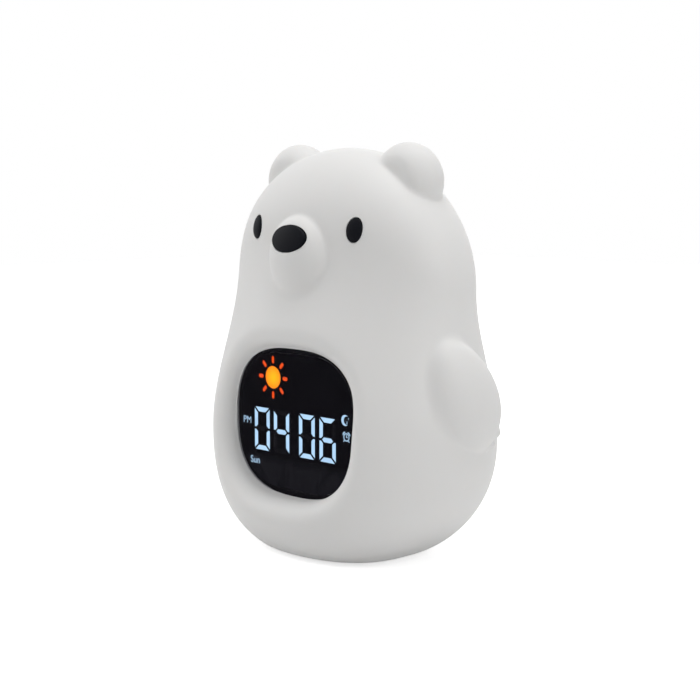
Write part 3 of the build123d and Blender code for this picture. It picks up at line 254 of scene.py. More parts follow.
class BearForm:
    """The whole soft body as one field, from the panel's settings."""

    def __init__(self, scene):
        self.body = scene.bear_body
        self.features = scene.bear_features
        self.display = scene.bear_display
        low, high, middle = node_box("display_window")
        self.window_y = low[1]
        self.window_centre = (middle[0], middle[2])
        self.window_half = ((high[0] - low[0]) / 2, (high[2] - low[2]) / 2)

    def trunk_level(self, points):
        """Zero on the surface of the body and head, below zero inside."""
        body = self.body
        x, y, z = np.abs(points[..., 0]), points[..., 1], points[..., 2]
        front = y < 0
        climb = (z - body.belly_z) / (body.head_z - body.belly_z)
        face_climb = (z - body.belly_z) / (body.face_z - body.belly_z)
        wide = between(body.belly_wide, body.head_wide, ease(climb))
        back = between(body.belly_back, body.head_back, ease(climb))
        ahead = between(body.belly_front, body.face_front, ease(face_climb))
        side = x / wide
        depth = np.abs(y) / np.where(front, ahead, back)
        across = side ** body.plan_power
        along = depth ** body.plan_power
        plan = (across + along) ** (1 / body.plan_power)
        frontness = np.where(front, along / np.maximum(across + along, 1e-9), 0.0)
        side_rise = (z - body.head_z) / (body.top - body.head_z)
        face_rise = (z - body.face_z) / (body.top - body.face_z)
        rise = np.maximum(between(side_rise, face_rise, frontness), 0.0)
        dome = (plan ** body.dome_power + rise ** body.dome_power) ** (1 / body.dome_power)
        drop = np.maximum((body.belly_z - z) / (body.belly_z - body.floor + body.under_sink), 0.0)
        power = between(body.under_power, body.under_front_power, frontness)
        under = (plan ** power + drop ** power) ** (1 / power)
        return np.where(z > body.belly_z, dome, under) - 1.0

    def arm_place(self, points):
        """Places from the arm's centre, across it, to its back and up along it."""
        arm = self.features
        offset = mirrored(points) - np.array((arm.arm_x, arm.arm_y, arm.arm_z))
        lean_cos, lean_sin = cos(arm.arm_lean), sin(arm.arm_lean)
        back = lean_cos * offset[..., 1] + lean_sin * offset[..., 2]
        rise = -lean_sin * offset[..., 1] + lean_cos * offset[..., 2]
        return np.stack([offset[..., 0], back, rise], axis=-1)

    def arm(self, points):
        """Field of one arm; the form is the same on both sides."""
        arm = self.features
        local = self.arm_place(points)
        sizes = np.array((arm.arm_thick, arm.arm_deep, arm.arm_long))
        swell = np.maximum(1 - arm.arm_swell * local[..., 2:] / arm.arm_long, LEAST_SWELL)
        full = np.concatenate([local[..., :2] / swell, local[..., 2:]], axis=-1)
        limb = ellipsoid(full, (0, 0, 0), sizes)
        for place in FINGER_PLACES:
            finger = ellipsoid(local, place * sizes, (arm.finger_radius,) * 3)
            limb = smooth_min(limb, finger, FINGER_CREASE)
        return limb

    def arm_softness(self, points):
        """Softness of the arm's edge: a crease below and behind, a soft roll above and in front."""
        arm = self.features
        local = self.arm_place(points)
        ahead, along = -local[..., 1] / arm.arm_deep, local[..., 2] / arm.arm_long
        return between(arm.arm_crease, arm.arm_blend, ease(ROLL_AHEAD * ahead + ROLL_ALONG * along))

    def ear(self, points):
        """Field of one ear, hollowed a little in front; the same on both sides."""
        ear = self.features
        spots = mirrored(points)
        centre = np.array((ear.ear_x, ear.ear_y, ear.ear_z))
        lobe = ellipsoid(spots, centre, (ear.ear_wide, ear.ear_deep, ear.ear_wide))
        ball = centre - np.array((0, ear.ear_deep + EAR_BALL - ear.ear_cup, 0))
        hollow = np.linalg.norm(spots - ball, axis=-1) - EAR_BALL
        return smooth_max(lobe, -hollow, EAR_RIM)

    def plan_gap(self, points):
        """Distance outside the window's outline, seen from the front."""
        power = self.display.window_power

        def outline(flat):
            x = np.abs(flat[..., 0] - self.window_centre[0]) / self.window_half[0]
            z = np.abs(flat[..., 2] - self.window_centre[1]) / self.window_half[1]
            return (x ** power + z ** power) ** (1 / power) - 1.0

        return true_distance(outline, points)

    def dish(self, points):
        """Field of the room in front of the display window."""
        out = self.window_y - points[..., 1]
        return np.maximum(self.plan_gap(points) - self.display.window_gap, -out)

    def __call__(self, points):
        """Field of the outside of the skin, with no opening cut."""
        body, features = self.body, self.features
        whole = true_distance(self.trunk_level, points)
        whole = smooth_min(whole, self.ear(points), features.ear_blend)
        whole = smooth_min(whole, self.arm(points), self.arm_softness(points))
        sink = ease((features.muzzle_z - points[..., 2]) / features.muzzle_high)
        edge = between(features.muzzle_crease, features.muzzle_blend, sink)
        whole = smooth_min(whole, self.muzzle(points), edge)
        whole = smooth_max(whole, body.floor - points[..., 2], body.floor_round)
        return round_max(whole, -self.dish(points), self.display.dish_round)

    def muzzle(self, points):
        """Field of the muzzle's egg."""
        egg = self.features
        sizes = (egg.muzzle_wide, egg.muzzle_deep, egg.muzzle_high)
        y = self.face_y(egg.muzzle_z) - egg.muzzle_stand + egg.muzzle_deep
        return ellipsoid(points, (0, y, egg.muzzle_z), sizes)

    def face_y(self, z):
        """Front of the plain face at the middle, at height z."""
        body = self.body
        share = ease((z - body.belly_z) / (body.face_z - body.belly_z))
        return -between(body.belly_front, body.face_front, share)

    def slope(self, points, step=0.05 * MM):
        """Direction in which the field rises."""
        rises = [
            (self(points + shift) - self(points - shift)) / (2 * step) for shift in np.eye(3) * step
        ]
        return np.stack(rises, axis=-1)

    def settle(self, points, level=0.0, rounds=4, reach=1.5 * MM):
        """Points moved along the slope until they lie on the surface of that level."""
        for _ in range(rounds):
            slope = self.slope(points)
            steep = np.maximum((slope * slope).sum(axis=-1, keepdims=True), 1e-6)
            step = (self(points) - level)[..., None] * slope / steep
            points = points - np.clip(step, -reach, reach)
        return points

    def drop(self, points, direction, level=0.0, rounds=8, least=0.3):
        """Points moved along a direction until they lie on the surface of that level."""
        for _ in range(rounds):
            rise = np.maximum(self.slope(points) @ direction, least)
            points = points - ((self(points) - level) / rise)[:, None] * direction
        return points


# ---------------------------------------------------------------- meshes


def new_piece(name, points, faces, finish, body=CASE, crease=None):
    """Mesh object from points and faces, smooth but for edges sharper than the crease angle."""
    mesh = bpy.data.meshes.new(name)
    mesh.from_pydata([tuple(point) for point in points], [], [tuple(face) for face in faces])
    mesh.materials.append(finish)
    piece = bpy.data.objects.new(name, mesh)
    bpy.context.scene.collection.objects.link(piece)
    if body:
        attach(piece, body)
    if crease:
        soften(mesh, crease)
    return piece


def soften(mesh, crease):
    """Smooth shading with sharp edges where faces meet at more than the crease angle."""
    mesh.shade_smooth()
    mesh.set_sharp_from_angle(angle=radians(crease))


def cut_out(piece, tool):
    """Cut a closed tool out of a closed piece, and leave only the piece."""
    step = piece.modifiers.new("cut", "BOOLEAN")
    step.operation = "DIFFERENCE"
    step.solver = "MANIFOLD"
    step.object = tool
    before = len(piece.data.polygons)
    graph = bpy.context.evaluated_depsgraph_get()
    shaped = bpy.data.meshes.new_from_object(piece.evaluated_get(graph), depsgraph=graph)
    piece.modifiers.clear()
    piece.data = shaped
    if len(shaped.polygons) in (0, before):
        raise RuntimeError(f"{tool.name} left {piece.name} as it was")
    bpy.data.meshes.remove(tool.data)


def tube_faces(rings, count):
    """Quads between closed rings of points that follow one another."""
    faces = []
    for ring in range(rings - 1):
        for step in range(count):
            after = (step + 1) % count
            start = ring * count
            faces.append((start + step, start + after, start + count + after, start + count + step))
    return faces


def capped_tube(rings):
    """Points and faces of a closed solid through rings of points, capped flat at both ends."""
    count = len(rings[0])
    points = np.concatenate(rings)
    faces = tube_faces(len(rings), count)
    faces.append(tuple(reversed(range(count))))
    faces.append(tuple(range(len(points) - count, len(points))))
    return points, outward(points, faces)


def outward(points, faces):
    """The faces, turned round where the solid is inside out."""
    volume = 0.0
    for face in faces:
        first = points[face[0]]
        for second, third in zip(face[1:-1], face[2:]):
            volume += np.dot(first, np.cross(points[second], points[third]))
    return faces if volume > 0 else [tuple(reversed(face)) for face in faces]


# Places without a sample count as this many pitches outside the surface
FAR_OUTSIDE = 10


def level_surface(form, level, pitch, margin=3 * MM):
    """Closed surface of the form at a level, from an even grid of samples."""
    low, high = np.array(CAD_BOX[0]) - margin, np.array(CAD_BOX[1]) + margin
    axes = [np.arange(low[axis], high[axis] + pitch, pitch) for axis in range(3)]
    samples = form(np.stack(np.meshgrid(*axes, indexing="ij"), axis=-1)) - level
    grid = openvdb.FloatGrid(FAR_OUTSIDE * pitch)
    grid.copyFromArray(samples.astype(np.float32))
    places, quads = grid.convertToQuads(isovalue=0.0)
    points = form.settle(low + np.asarray(places, dtype=np.float64) * pitch, level)
    corners = points[quads[:, :3]]
    volume = np.einsum("ij,ij->i", corners[:, 0], np.cross(corners[:, 1], corners[:, 2])).sum()
    return points, quads if volume > 0 else quads[:, ::-1]


def full_turn(count):
    """Even angles once round."""
    return np.linspace(0, 2 * pi, count, endpoint=False)


def superellipse(wide, high, power, count):
    """Points of a closed superellipse in the X-Z plane."""
    turns = full_turn(count)
    side, rise = np.cos(turns), np.sin(turns)
    x = wide * np.sign(side) * np.abs(side) ** (2 / power)
    z = high * np.sign(rise) * np.abs(rise) ** (2 / power)
    return np.stack([x, np.zeros(count), z], axis=-1)


def rounded_rectangle(wide, high, corner, steps=10):
    """Points of a closed rounded rectangle in the X-Z plane, by half width and half height."""
    points = []
    for centre_x, centre_z, start in ((1, 1, 0), (-1, 1, 90), (-1, -1, 180), (1, -1, 270)):
        for step in range(steps + 1):
            turn = radians(start + 90 * step / steps)
            x = centre_x * (wide - corner) + corner * cos(turn)
            z = centre_z * (high - corner) + corner * sin(turn)
            points.append((x, 0.0, z))
    return np.array(points)


def spread(outline, distance, axis):
    """Closed flat outline moved outwards by a distance; axis is the normal of its plane."""
    before, after = np.roll(outline, 1, axis=0), np.roll(outline, -1, axis=0)
    along = after - before
    along /= np.linalg.norm(along, axis=1, keepdims=True)
    aside = np.cross(along, np.array(axis, dtype=float))
    centre = outline.mean(axis=0)
    if ((outline - centre) * aside).sum() < 0:
        aside = -aside
    return outline + aside * distance


def lip_tool(name, form, outline, direction, depth, lip, steps=5):
    """Cutting tool that runs in from the surface by depth and rounds the opening's lip."""
    direction = np.array(direction, dtype=float)
    edge = form.drop(outline, direction, rounds=12, least=0.2)
    rings = [edge - depth * direction, edge - lip * direction]
    for step in range(1, steps + 1):
        turn = pi / 2 * step / steps
        out, down = lip * (1 - cos(turn)), lip * (1 - sin(turn))
        rings.append(spread(edge, out, direction) - down * direction)
    rings.append(spread(edge, lip, direction) + depth * direction)
    return cutting_tool(name, *capped_tube(rings))


def cutting_tool(name, points, faces):
    """Closed piece that only serves to cut another."""
    return new_piece(name, points, faces, None, body=None)


def inlay_surface(form, place, profile, flatness=0.0, count=72):
    """Closed elliptical inlay whose rings lie at the profile's shares and levels over the form.

    Flatness draws its face from the form's curve towards a plane.
    """
    centre, right, upward, half_wide, half_high = place
    normal = np.cross(right, upward)
    crest = form.drop(centre[None], normal)
    turns = full_turn(count)
    rings = []
    for share, level in profile:
        across = np.outer(np.cos(turns), right) * half_wide * share
        along = np.outer(np.sin(turns), upward) * half_high * share
        ring = form.drop(centre + across + along, normal, level * MM)
        if 0.0 < level:
            ring = ring - flatness * np.outer((ring - crest) @ normal, normal)
        rings.append(ring)
    return capped_tube(rings)


# ---------------------------------------------------------------- finishes


class Wire:
    """A shader socket that takes part in Python expressions."""

    def __init__(self, nodes, socket):
        self.nodes = nodes
        self.socket = socket

    def maths(self, operation, first, second):
        """Math node between two numbers, of which at least one is a socket."""
        return self.nodes.node("ShaderNodeMath", {"operation": operation}, {0: first, 1: second})

    def __add__(self, other):
        return self.maths("ADD", self, other)

    def __radd__(self, other):
        return self.maths("ADD", other, self)

    def __sub__(self, other):
        return self.maths("SUBTRACT", self, other)

    def __rsub__(self, other):
        return self.maths("SUBTRACT", other, self)

    def __mul__(self, other):
        return self.maths("MULTIPLY", self, other)

    def __rmul__(self, other):
        return self.maths("MULTIPLY", other, self)


class Nodes:
    """A tree of shader nodes laid out as Python expressions."""

    def __init__(self, tree):
        self.tree = tree
        tree.nodes.clear()

    def node(self, kind, settings=None, inputs=None, output=0):
        """Any node: its settings are set first, then its sockets are filled or joined."""
        made = self.tree.nodes.new(kind)
        for name, value in (settings or {}).items():
            setattr(made, name, value)
        for name, value in (inputs or {}).items():
            if isinstance(value, Wire):
                self.tree.links.new(value.socket, made.inputs[name])
            else:
                made.inputs[name].default_value = value
        return Wire(self, made.outputs[output]) if made.outputs else None

    def seen(self, *rays):
        """1 for rays of these kinds and 0 for all others."""
        kinds = [self.node("ShaderNodeLightPath", output=f"Is {ray} Ray") for ray in rays]
        return self.node("ShaderNodeClamp", None, {"Value": sum(kinds[1:], kinds[0])})


class Finish(Nodes):
    """A material laid out as Python expressions."""

    def __init__(self, name):
        self.material = bpy.data.materials.new(name)
        self.material.use_nodes = True
        super().__init__(self.material.node_tree)
        self.place = self.node("ShaderNodeTexCoord", output="Object")

    def noise(self, size, detail=2.0, rough=0.5):
        """Soft noise with features of a given size, about 0.5 on average."""
        inputs = {"Vector": self.place, "Scale": 1 / size, "Detail": detail, "Roughness": rough}
        return self.node("ShaderNodeTexNoise", inputs=inputs)

    def mapped(self, **inputs):
        """The place through a Mapping node."""
        return self.node("ShaderNodeMapping", None, {"Vector": self.place, **inputs})

    def mix(self, first, second, share):
        """Colour a share of the way from the first to the second."""
        inputs = {0: share, 6: shade(first), 7: shade(second)}
        return self.node("ShaderNodeMix", {"data_type": "RGBA"}, inputs, output=2)

    def ramp(self, value, low, high):
        """0 below low, 1 above high and even between them."""
        return self.node("ShaderNodeMapRange", None, {"Value": value, "From Min": low, "From Max": high})

    def bump(self, height, depth):
        """Normal from a height between 0 and 1 with its real depth."""
        return self.node("ShaderNodeBump", None, {"Height": height, "Distance": depth, "Strength": 1.0})

    def surface(self, **sockets):
        """Close the material with a Principled shader; keys name its sockets with _ for spaces."""
        inputs = {name.replace("_", " "): value for name, value in sockets.items()}
        for name in ("Base Color", "Emission Color"):
            if name in inputs:
                inputs[name] = shade(inputs[name])
        shader = self.node("ShaderNodeBsdfPrincipled", None, inputs)
        self.node("ShaderNodeOutputMaterial", None, {"Surface": shader})
        return self.material


def shade(value):
    """A colour socket's value: a wire as it is, a plain colour with its alpha added."""
    if isinstance(value, Wire):
        return value
    red, green, blue = value[:3]
    return (red, green, blue, 1.0)


def scaled(value, factor):
    """A plain colour made lighter or darker."""
    return tuple(channel * factor for channel in value[:3])


def moulded(name, tone, rough, grain=0.35 * MM, depth=0.006 * MM, **more):
    """Moulded plastic or rubber: fine spark grain, a slow drift of tone and uneven sheen."""
    finish = Finish(name)
    fine = finish.noise(grain, 3.0, 0.6)
    slow = finish.noise(22 * MM)
    return finish.surface(
        Base_Color=finish.mix(scaled(tone, 0.94), scaled(tone, 1.03), slow),
        Roughness=fine * 0.12 + slow * 0.06 + (rough - 0.09),
        Normal=finish.bump(fine, depth),
        **more,
    )


def plated(name, tone, rough):
    """Metal with fine brushed strokes along one axis."""
    finish = Finish(name)
    stroke = finish.mapped(Scale=[1 / (size * MM) for size in (0.15, 4.0, 0.15)])
    strokes = finish.node("ShaderNodeTexNoise", None, {"Vector": stroke, "Scale": 1.0, "Detail": 2.0})
    worn = finish.noise(6 * MM, 3.0, 0.6)
    return finish.surface(
        Base_Color=finish.mix(scaled(tone, 0.82), tone, worn),
        Roughness=strokes * 0.18 + (rough - 0.09),
        Normal=finish.bump(strokes, 0.002 * MM),
        Metallic=1.0,
    )


def glowing(name, tone, strength, patch):
    """Lit light guide: milky, with soft brighter patches."""
    finish = Finish(name)
    cloud = finish.noise(patch)
    lit = finish.mix(scaled(tone, 0.86), tone, finish.ramp(cloud, 0.3, 0.6))
    return finish.surface(
        Base_Color=scaled(tone, 0.5),
        Roughness=cloud * 0.1 + 0.45,
        Emission_Color=lit,
        Emission_Strength=strength,
    )


def sun_disc(name, tone, strength):
    """Lit disc of the sun: yellow in the middle and deeper towards its rim."""
    finish = Finish(name)
    low, high, middle = node_box("sun_disc_guide")
    radius = (high[0] - low[0]) / 2
    ends = {0: finish.place, 1: tuple(middle)}
    away = finish.node("ShaderNodeVectorMath", {"operation": "DISTANCE"}, ends, "Value")
    cloud = finish.noise(2 * MM)
    red, green, blue = tone
    rim = finish.ramp(away, 0.3 * radius, 1.1 * radius)
    return finish.surface(
        Base_Color=scaled(tone, 0.4),
        Roughness=cloud * 0.1 + 0.45,
        Emission_Color=finish.mix((red, green * 1.35, blue), (red, green * 0.5, blue), rim),
        Emission_Strength=strength,
    )


def circuit_board(name, tone):
    """Printed board: fibre weave under green resist, with copper tracks showing through."""
    finish = Finish(name)
    tracks = {
        "Vector": finish.mapped(Rotation=(radians(90), 0.0, 0.0)),
        "Scale": 1.0,
        "Mortar Size": 0.12 * MM,
        "Mortar Smooth": 0.4,
        "Brick Width": 4.2 * MM,
        "Row Height": 1.3 * MM,
    }
    track = finish.node("ShaderNodeTexBrick", {"offset": 0.4, "squash": 1.6}, tracks, "Fac")
    weave = finish.noise(0.3 * MM, 1.0, 0.5)
    resist = finish.mix(tone, scaled(tone, 2.2), track)
    return finish.surface(
        Base_Color=finish.mix(scaled(tone, 0.7), resist, weave * 0.5 + 0.5),
        Roughness=weave * 0.15 + 0.3,
        Normal=finish.bump(track, 0.02 * MM),
        Coat_Weight=0.3,
    )


def silicone_finish(tone):
    """Matte silicone: satin skin over fine pores, faintly translucent, with a trace of dust."""
    finish = Finish("silicone_matte")
    pores = finish.noise(0.28 * MM, 3.0, 0.65)
    swell = finish.noise(4.5 * MM)
    slow = finish.noise(38 * MM)
    dust = finish.ramp(finish.noise(1.1 * MM, 4.0, 0.7), 0.62, 0.8)
    clean = finish.mix(scaled(tone, 0.965), scaled(tone, 1.015), slow)
    return finish.surface(
        Base_Color=finish.mix(clean, scaled(tone, 0.93), dust * 0.35),
        Roughness=pores * 0.1 + swell * 0.08 + 0.47,
        Normal=finish.bump(pores * 0.7 + swell * 0.3, 0.012 * MM),
        Subsurface_Weight=0.12,
        Subsurface_Radius=(1.0, 0.8, 0.65),
        Subsurface_Scale=1.2 * MM,
        Specular_IOR_Level=0.35,
    )


def inlay_finish(tone):
    """Smooth black plastic with faint orange peel and hair-fine rub marks."""
    finish = Finish("inlay_gloss")
    peel = finish.noise(1.4 * MM)
    rub = finish.ramp(finish.noise(0.5 * MM, 4.0, 0.7), 0.58, 0.75)
    return finish.surface(
        Base_Color=finish.mix(tone, scaled(tone, 2.0), rub),
        Roughness=rub * 0.1 + peel * 0.06 + 0.45,
        Normal=finish.bump(peel, 0.004 * MM),
        Specular_IOR_Level=0.05,
    )


def ink_with_painted_light(name):
    """Black ink on film: deep and matte, with a faint painted glow all over and a painted reflection
    that makes it lighter and glow more low down.
    """
    finish = Finish(name)
    mottle = finish.noise(0.6 * MM, 3.0, 0.6)
    height = finish.node("ShaderNodeSeparateXYZ", None, {"Vector": finish.place}, output="Z")
    # Painted reflection: below this band the ink is painted lighter and glows more
    low_painted_reflection = 1 - finish.ramp(height, 31 * MM, 35 * MM)
    deep = finish.mix((0.010, 0.010, 0.012), (0.014, 0.014, 0.017), mottle)
    return finish.surface(
        Base_Color=finish.mix(deep, (0.050, 0.050, 0.060), low_painted_reflection),
        Roughness=mottle * 0.15 + 0.5,
        # Painted glow on black ink that is no lamp, stronger low down
        Emission_Color=finish.mix((0.006, 0.0055, 0.0075), (0.013, 0.0125, 0.016), low_painted_reflection),
        Emission_Strength=1.0,
        Specular_IOR_Level=0.03,
    )


def window_finish():
    """Smoked acrylic: clear to the lights behind it, dark to everything else."""
    finish = Finish("window_smoked")
    haze = finish.noise(9 * MM, 3.0, 0.6)
    return finish.surface(
        Base_Color=finish.mix((0.50, 0.50, 0.52), (0.56, 0.56, 0.58), haze),
        Roughness=haze * 0.02 + 0.015,
        Transmission_Weight=1.0,
        IOR=1.05,
    )


def foil_finish():
    """Battery pouch: dull crumpled foil."""
    finish = Finish("pouch_foil")
    crumple = finish.noise(3 * MM, 4.0, 0.6)
    return finish.surface(
        Base_Color=finish.mix((0.42, 0.43, 0.45), (0.66, 0.67, 0.69), crumple),
        Roughness=crumple * 0.25 + 0.25,
        Normal=finish.bump(crumple, 0.15 * MM),
        Metallic=0.8,
    )


def ribbon_finish():
    """Flat cable: grey strands side by side."""
    finish = Finish("ribbon_strands")
    strands = finish.node(
        "ShaderNodeTexWave",
        {"wave_type": "BANDS", "bands_direction": "X"},
        {"Vector": finish.place, "Scale": 1 / (8 * MM), "Distortion": 0.0},
    )
    return finish.surface(
        Base_Color=finish.mix((0.45, 0.45, 0.46), (0.72, 0.72, 0.73), strands),
        Roughness=strands * 0.1 + 0.35,
        Normal=finish.bump(strands, 0.15 * MM),
    )


# ---------------------------------------------------------------- marks


# Height of a capital letter as a share of the lettering's size
CAPITAL_SHARE = 0.7


class Mark:
    """Flat shapes drawn on an upright face, gathered into one thin piece.

    Shapes are drawn in u, to the right as the reader sees it, and v, upwards.
    """

    def __init__(self, rear=False):
        self.turn = -1 if rear else 1
        self.shapes = []

    def polygon(self, u, v, corners, unit=1.0):
        """One flat shape, whose corners are measured from u, v in a unit."""
        self.shapes.append([(u + du * unit, v + dv * unit) for du, dv in corners])

    def arc_band(self, u, v, inner, outer, start=0, end=360, count=32):
        """Part of a ring, or of a disc, from one angle in degrees to another."""
        turns = np.radians(np.linspace(start, end, count + 1))
        rim = [(outer * cos(turn), outer * sin(turn)) for turn in turns]
        if inner:
            rim += [(inner * cos(turn), inner * sin(turn)) for turn in reversed(turns)]
        if end - start < 360:
            self.polygon(u, v, rim)
            return
        for step in range(count):
            sector = [rim[step], rim[step + 1]]
            sector += [rim[-step - 2], rim[-step - 1]] if inner else [(0.0, 0.0)]
            self.polygon(u, v, sector)

    def bar(self, u, v, long, thick, turn=0.0):
        """Straight bar centred on u, v and turned by an angle in degrees."""
        lean_cos, lean_sin = cos(radians(turn)), sin(radians(turn))
        x, y = long / 2, thick / 2
        corners = ((-x, -y), (x, -y), (x, y), (-x, y))
        turned = [(a * lean_cos - b * lean_sin, a * lean_sin + b * lean_cos) for a, b in corners]
        self.polygon(u, v, turned)

    def words(self, text, u, v, high):
        """Plain lettering with capitals of the given height, centred on u, v."""
        curve = bpy.data.curves.new("letters", "FONT")
        curve.body = text
        curve.size = high / CAPITAL_SHARE
        curve.align_x = "CENTER"
        curve.align_y = "BOTTOM"
        curve.resolution_u = 6
        holder = bpy.data.objects.new("letters", curve)
        bpy.context.scene.collection.objects.link(holder)
        graph = bpy.context.evaluated_depsgraph_get()
        flat = bpy.data.meshes.new_from_object(holder.evaluated_get(graph), depsgraph=graph)
        corners = np.array([tuple(vertex.co)[:2] for vertex in flat.vertices])
        low = corners[:, 1].min()
        for face in flat.polygons:
            place = [corners[index] for index in face.vertices]
            self.shapes.append([(u + x, v + y - low - high / 2) for x, y in place])
        bpy.data.objects.remove(holder)
        bpy.data.curves.remove(curve)
        bpy.data.meshes.remove(flat)

    def piece(self, name, y_face, thick, finish, body=CASE):
        """The shapes as thin plates whose readable side is at y_face."""
        points, faces = [], []
        for shape in self.shapes:
            area = sum(a[0] * b[1] - b[0] * a[1] for a, b in zip(shape, shape[1:] + shape[:1]))
            outline = shape if area > 0 else shape[::-1]
            start, count = len(points), len(outline)
            for depth in (0.0, self.turn * thick):
                points += [(self.turn * u, y_face + depth, v) for u, v in outline]
            faces.append(tuple(range(start, start + count)))
            faces.append(tuple(reversed(range(start + count, start + 2 * count))))
            for step in range(count):
                after = (step + 1) % count
                side = (start + step, start + count + step, start + count + after, start + after)
                faces.append(side)
        return new_piece(name, points, faces, finish, body)


def alarm_clock(mark, u, v, radius=1.15 * MM):
    """Outline of an alarm clock with its hands, feet and two ringing bells."""
    line = 0.2 * radius
    mark.arc_band(u, v, radius - 1.2 * line, radius)
    mark.bar(u, v + 0.25 * radius, line, 0.6 * radius)
    mark.bar(u + 0.18 * radius, v, 0.42 * radius, line)
    for side in (-1, 1):
        start = 90 - side * 45 - 24
        mark.arc_band(u, v, 1.18 * radius, 1.46 * radius, start, start + 48, 10)
        mark.bar(u + side * 0.87 * radius, v - 1.0 * radius, 0.5 * radius, 1.1 * line, -side * 45)


def sleeping_moon(mark, u, v, radius):
    """Crescent open to the right, with letters of sleep in its arms."""
    bite, bite_centre = 0.78 * radius, 0.41 * radius
    outer, inner = np.radians(np.linspace(50, 310, 30)), np.radians(np.linspace(290, 70, 24))
    edge = [(radius * cos(turn), radius * sin(turn)) for turn in outer]
    edge += [(bite_centre + bite * cos(turn), bite * sin(turn)) for turn in inner]
    mark.polygon(u, v, edge)
    mark.words("z", u + 0.45 * radius, v - 0.25 * radius, 0.6 * radius)
    mark.words("z", u + 0.85 * radius, v + 0.45 * radius, 0.45 * radius)


def lamp_sign(mark, u, v):
    """Disc with eight rays."""
    disc, reach, ray_long, ray_thick = 0.75 * MM, 1.35 * MM, 0.6 * MM, 0.26 * MM
    mark.arc_band(u, v, 0.0, disc, count=40)
    for degrees in range(0, 360, 45):
        out, rise = reach * cos(radians(degrees)), reach * sin(radians(degrees))
        mark.bar(u + out, v + rise, ray_long, ray_thick, degrees)


def sound_sign(mark, u, v):
    """Loudspeaker with two waves."""
    horn = ((-1.5, -0.5), (-0.9, -0.5), (-0.1, -1.2), (-0.1, 1.2), (-0.9, 0.5), (-1.5, 0.5))
    mark.polygon(u, v, horn, MM)
    half_thick = 0.14
    for radius in (0.75, 1.45):
        mark.arc_band(u, v, (radius - half_thick) * MM, (radius + half_thick) * MM, -45, 45, 12)


# Thickness of the bars of the minus and plus signs
SIGN_BAR = 0.42 * MM


def minus_sign(mark, u, v):
    """Level bar."""
    mark.bar(u, v, 2.2 * MM, SIGN_BAR)


def set_sign(mark, u, v):
    """The word of the setting button."""
    mark.words("SET", u, v, 1.5 * MM)


def plus_sign(mark, u, v):
    """Level bar with one stub above it and one below."""
    minus_sign(mark, u, v)
    stub_long, stub_rise = 0.88 * MM, 0.66 * MM
    for side in (-1, 1):
        mark.bar(u, v + side * stub_rise, SIGN_BAR, stub_long)


BUTTON_SIGNS = {
    "light": lamp_sign,
    "sound": sound_sign,
    "alarm": alarm_clock,
    "minus": minus_sign,
    "set": set_sign,
    "plus": plus_sign,
}
CHARGE_BOLT = ((0.25, 1.1), (-0.75, -0.15), (-0.1, -0.15), (-0.25, -1.1), (0.75, 0.2), (0.1, 0.2))


# ---------------------------------------------------------------- operators


# Pitch of the grids that the outside and the inside of the skin are drawn from
SKIN_PITCH = 1.0 * MM
HOLLOW_PITCH = 2.0 * MM
# Edges sharper than this many degrees stay sharp
SKIN_CREASE = 38
INLAY_CREASE = 50
# Points round the openings of the window and the base
WINDOW_POINTS = 160
BASE_POINTS = 144
# How far the window's opening is cut in and out from the back of its edge
WINDOW_IN = 6 * MM
WINDOW_OUT = 2 * MM
# Gap to the rear panel, corner, depth and rounded lip of its opening
PANEL_GAP, PANEL_CORNER, PANEL_DEPTH, PANEL_LIP = 0.2 * MM, 5 * MM, 9 * MM, 1.2 * MM
# Gap to the base cover, depth and rounded lip of its opening
BASE_GAP, BASE_DEPTH, BASE_LIP = 0.3 * MM, 3.4 * MM, 0.7 * MM
# Share of the outline and level over the skin, in millimetres, from the back to the front
INLAY_PROFILE = (
    (0.30, -1.2), (0.80, -1.2), (0.99, -1.2), (0.995, -0.4), (0.99, 0.05), (0.97, 0.22), (0.93, 0.36),
    (0.86, 0.47), (0.75, 0.58), (0.60, 0.70), (0.42, 0.79), (0.22, 0.84), (0.05, 0.86),
)
POCKET_PROFILE = (
    (0.30, -1.3), (0.80, -1.3), (1.02, -1.3), (1.02, -0.30), (1.05, 0.0), (1.10, 0.6), (1.10, 3.0),
    (0.60, 3.0), (0.20, 3.0),
)


def inlay_places(form):
    """Centre, right, up, half width and half height of the eyes and the nose."""
    places, face = {}, form.features
    for name in ("eye_left", "eye_right"):
        middle = node_box(name)[2]
        side = np.sign(middle[0])
        turn, roll = face.eye_turn * side, face.eye_roll * side
        level = np.array((cos(turn), sin(turn), 0.0))
        right = level * cos(roll) - UPWARD * sin(roll)
        upward = level * sin(roll) + UPWARD * cos(roll)
        places[name] = (middle, right, upward, face.eye_wide, face.eye_high)
    upward = np.array((0.0, sin(face.nose_tilt), cos(face.nose_tilt)))
    right, middle = np.array((1.0, 0.0, 0.0)), node_box("nose")[2]
    places["nose"] = (middle, right, upward, face.nose_wide, face.nose_high)
    return places


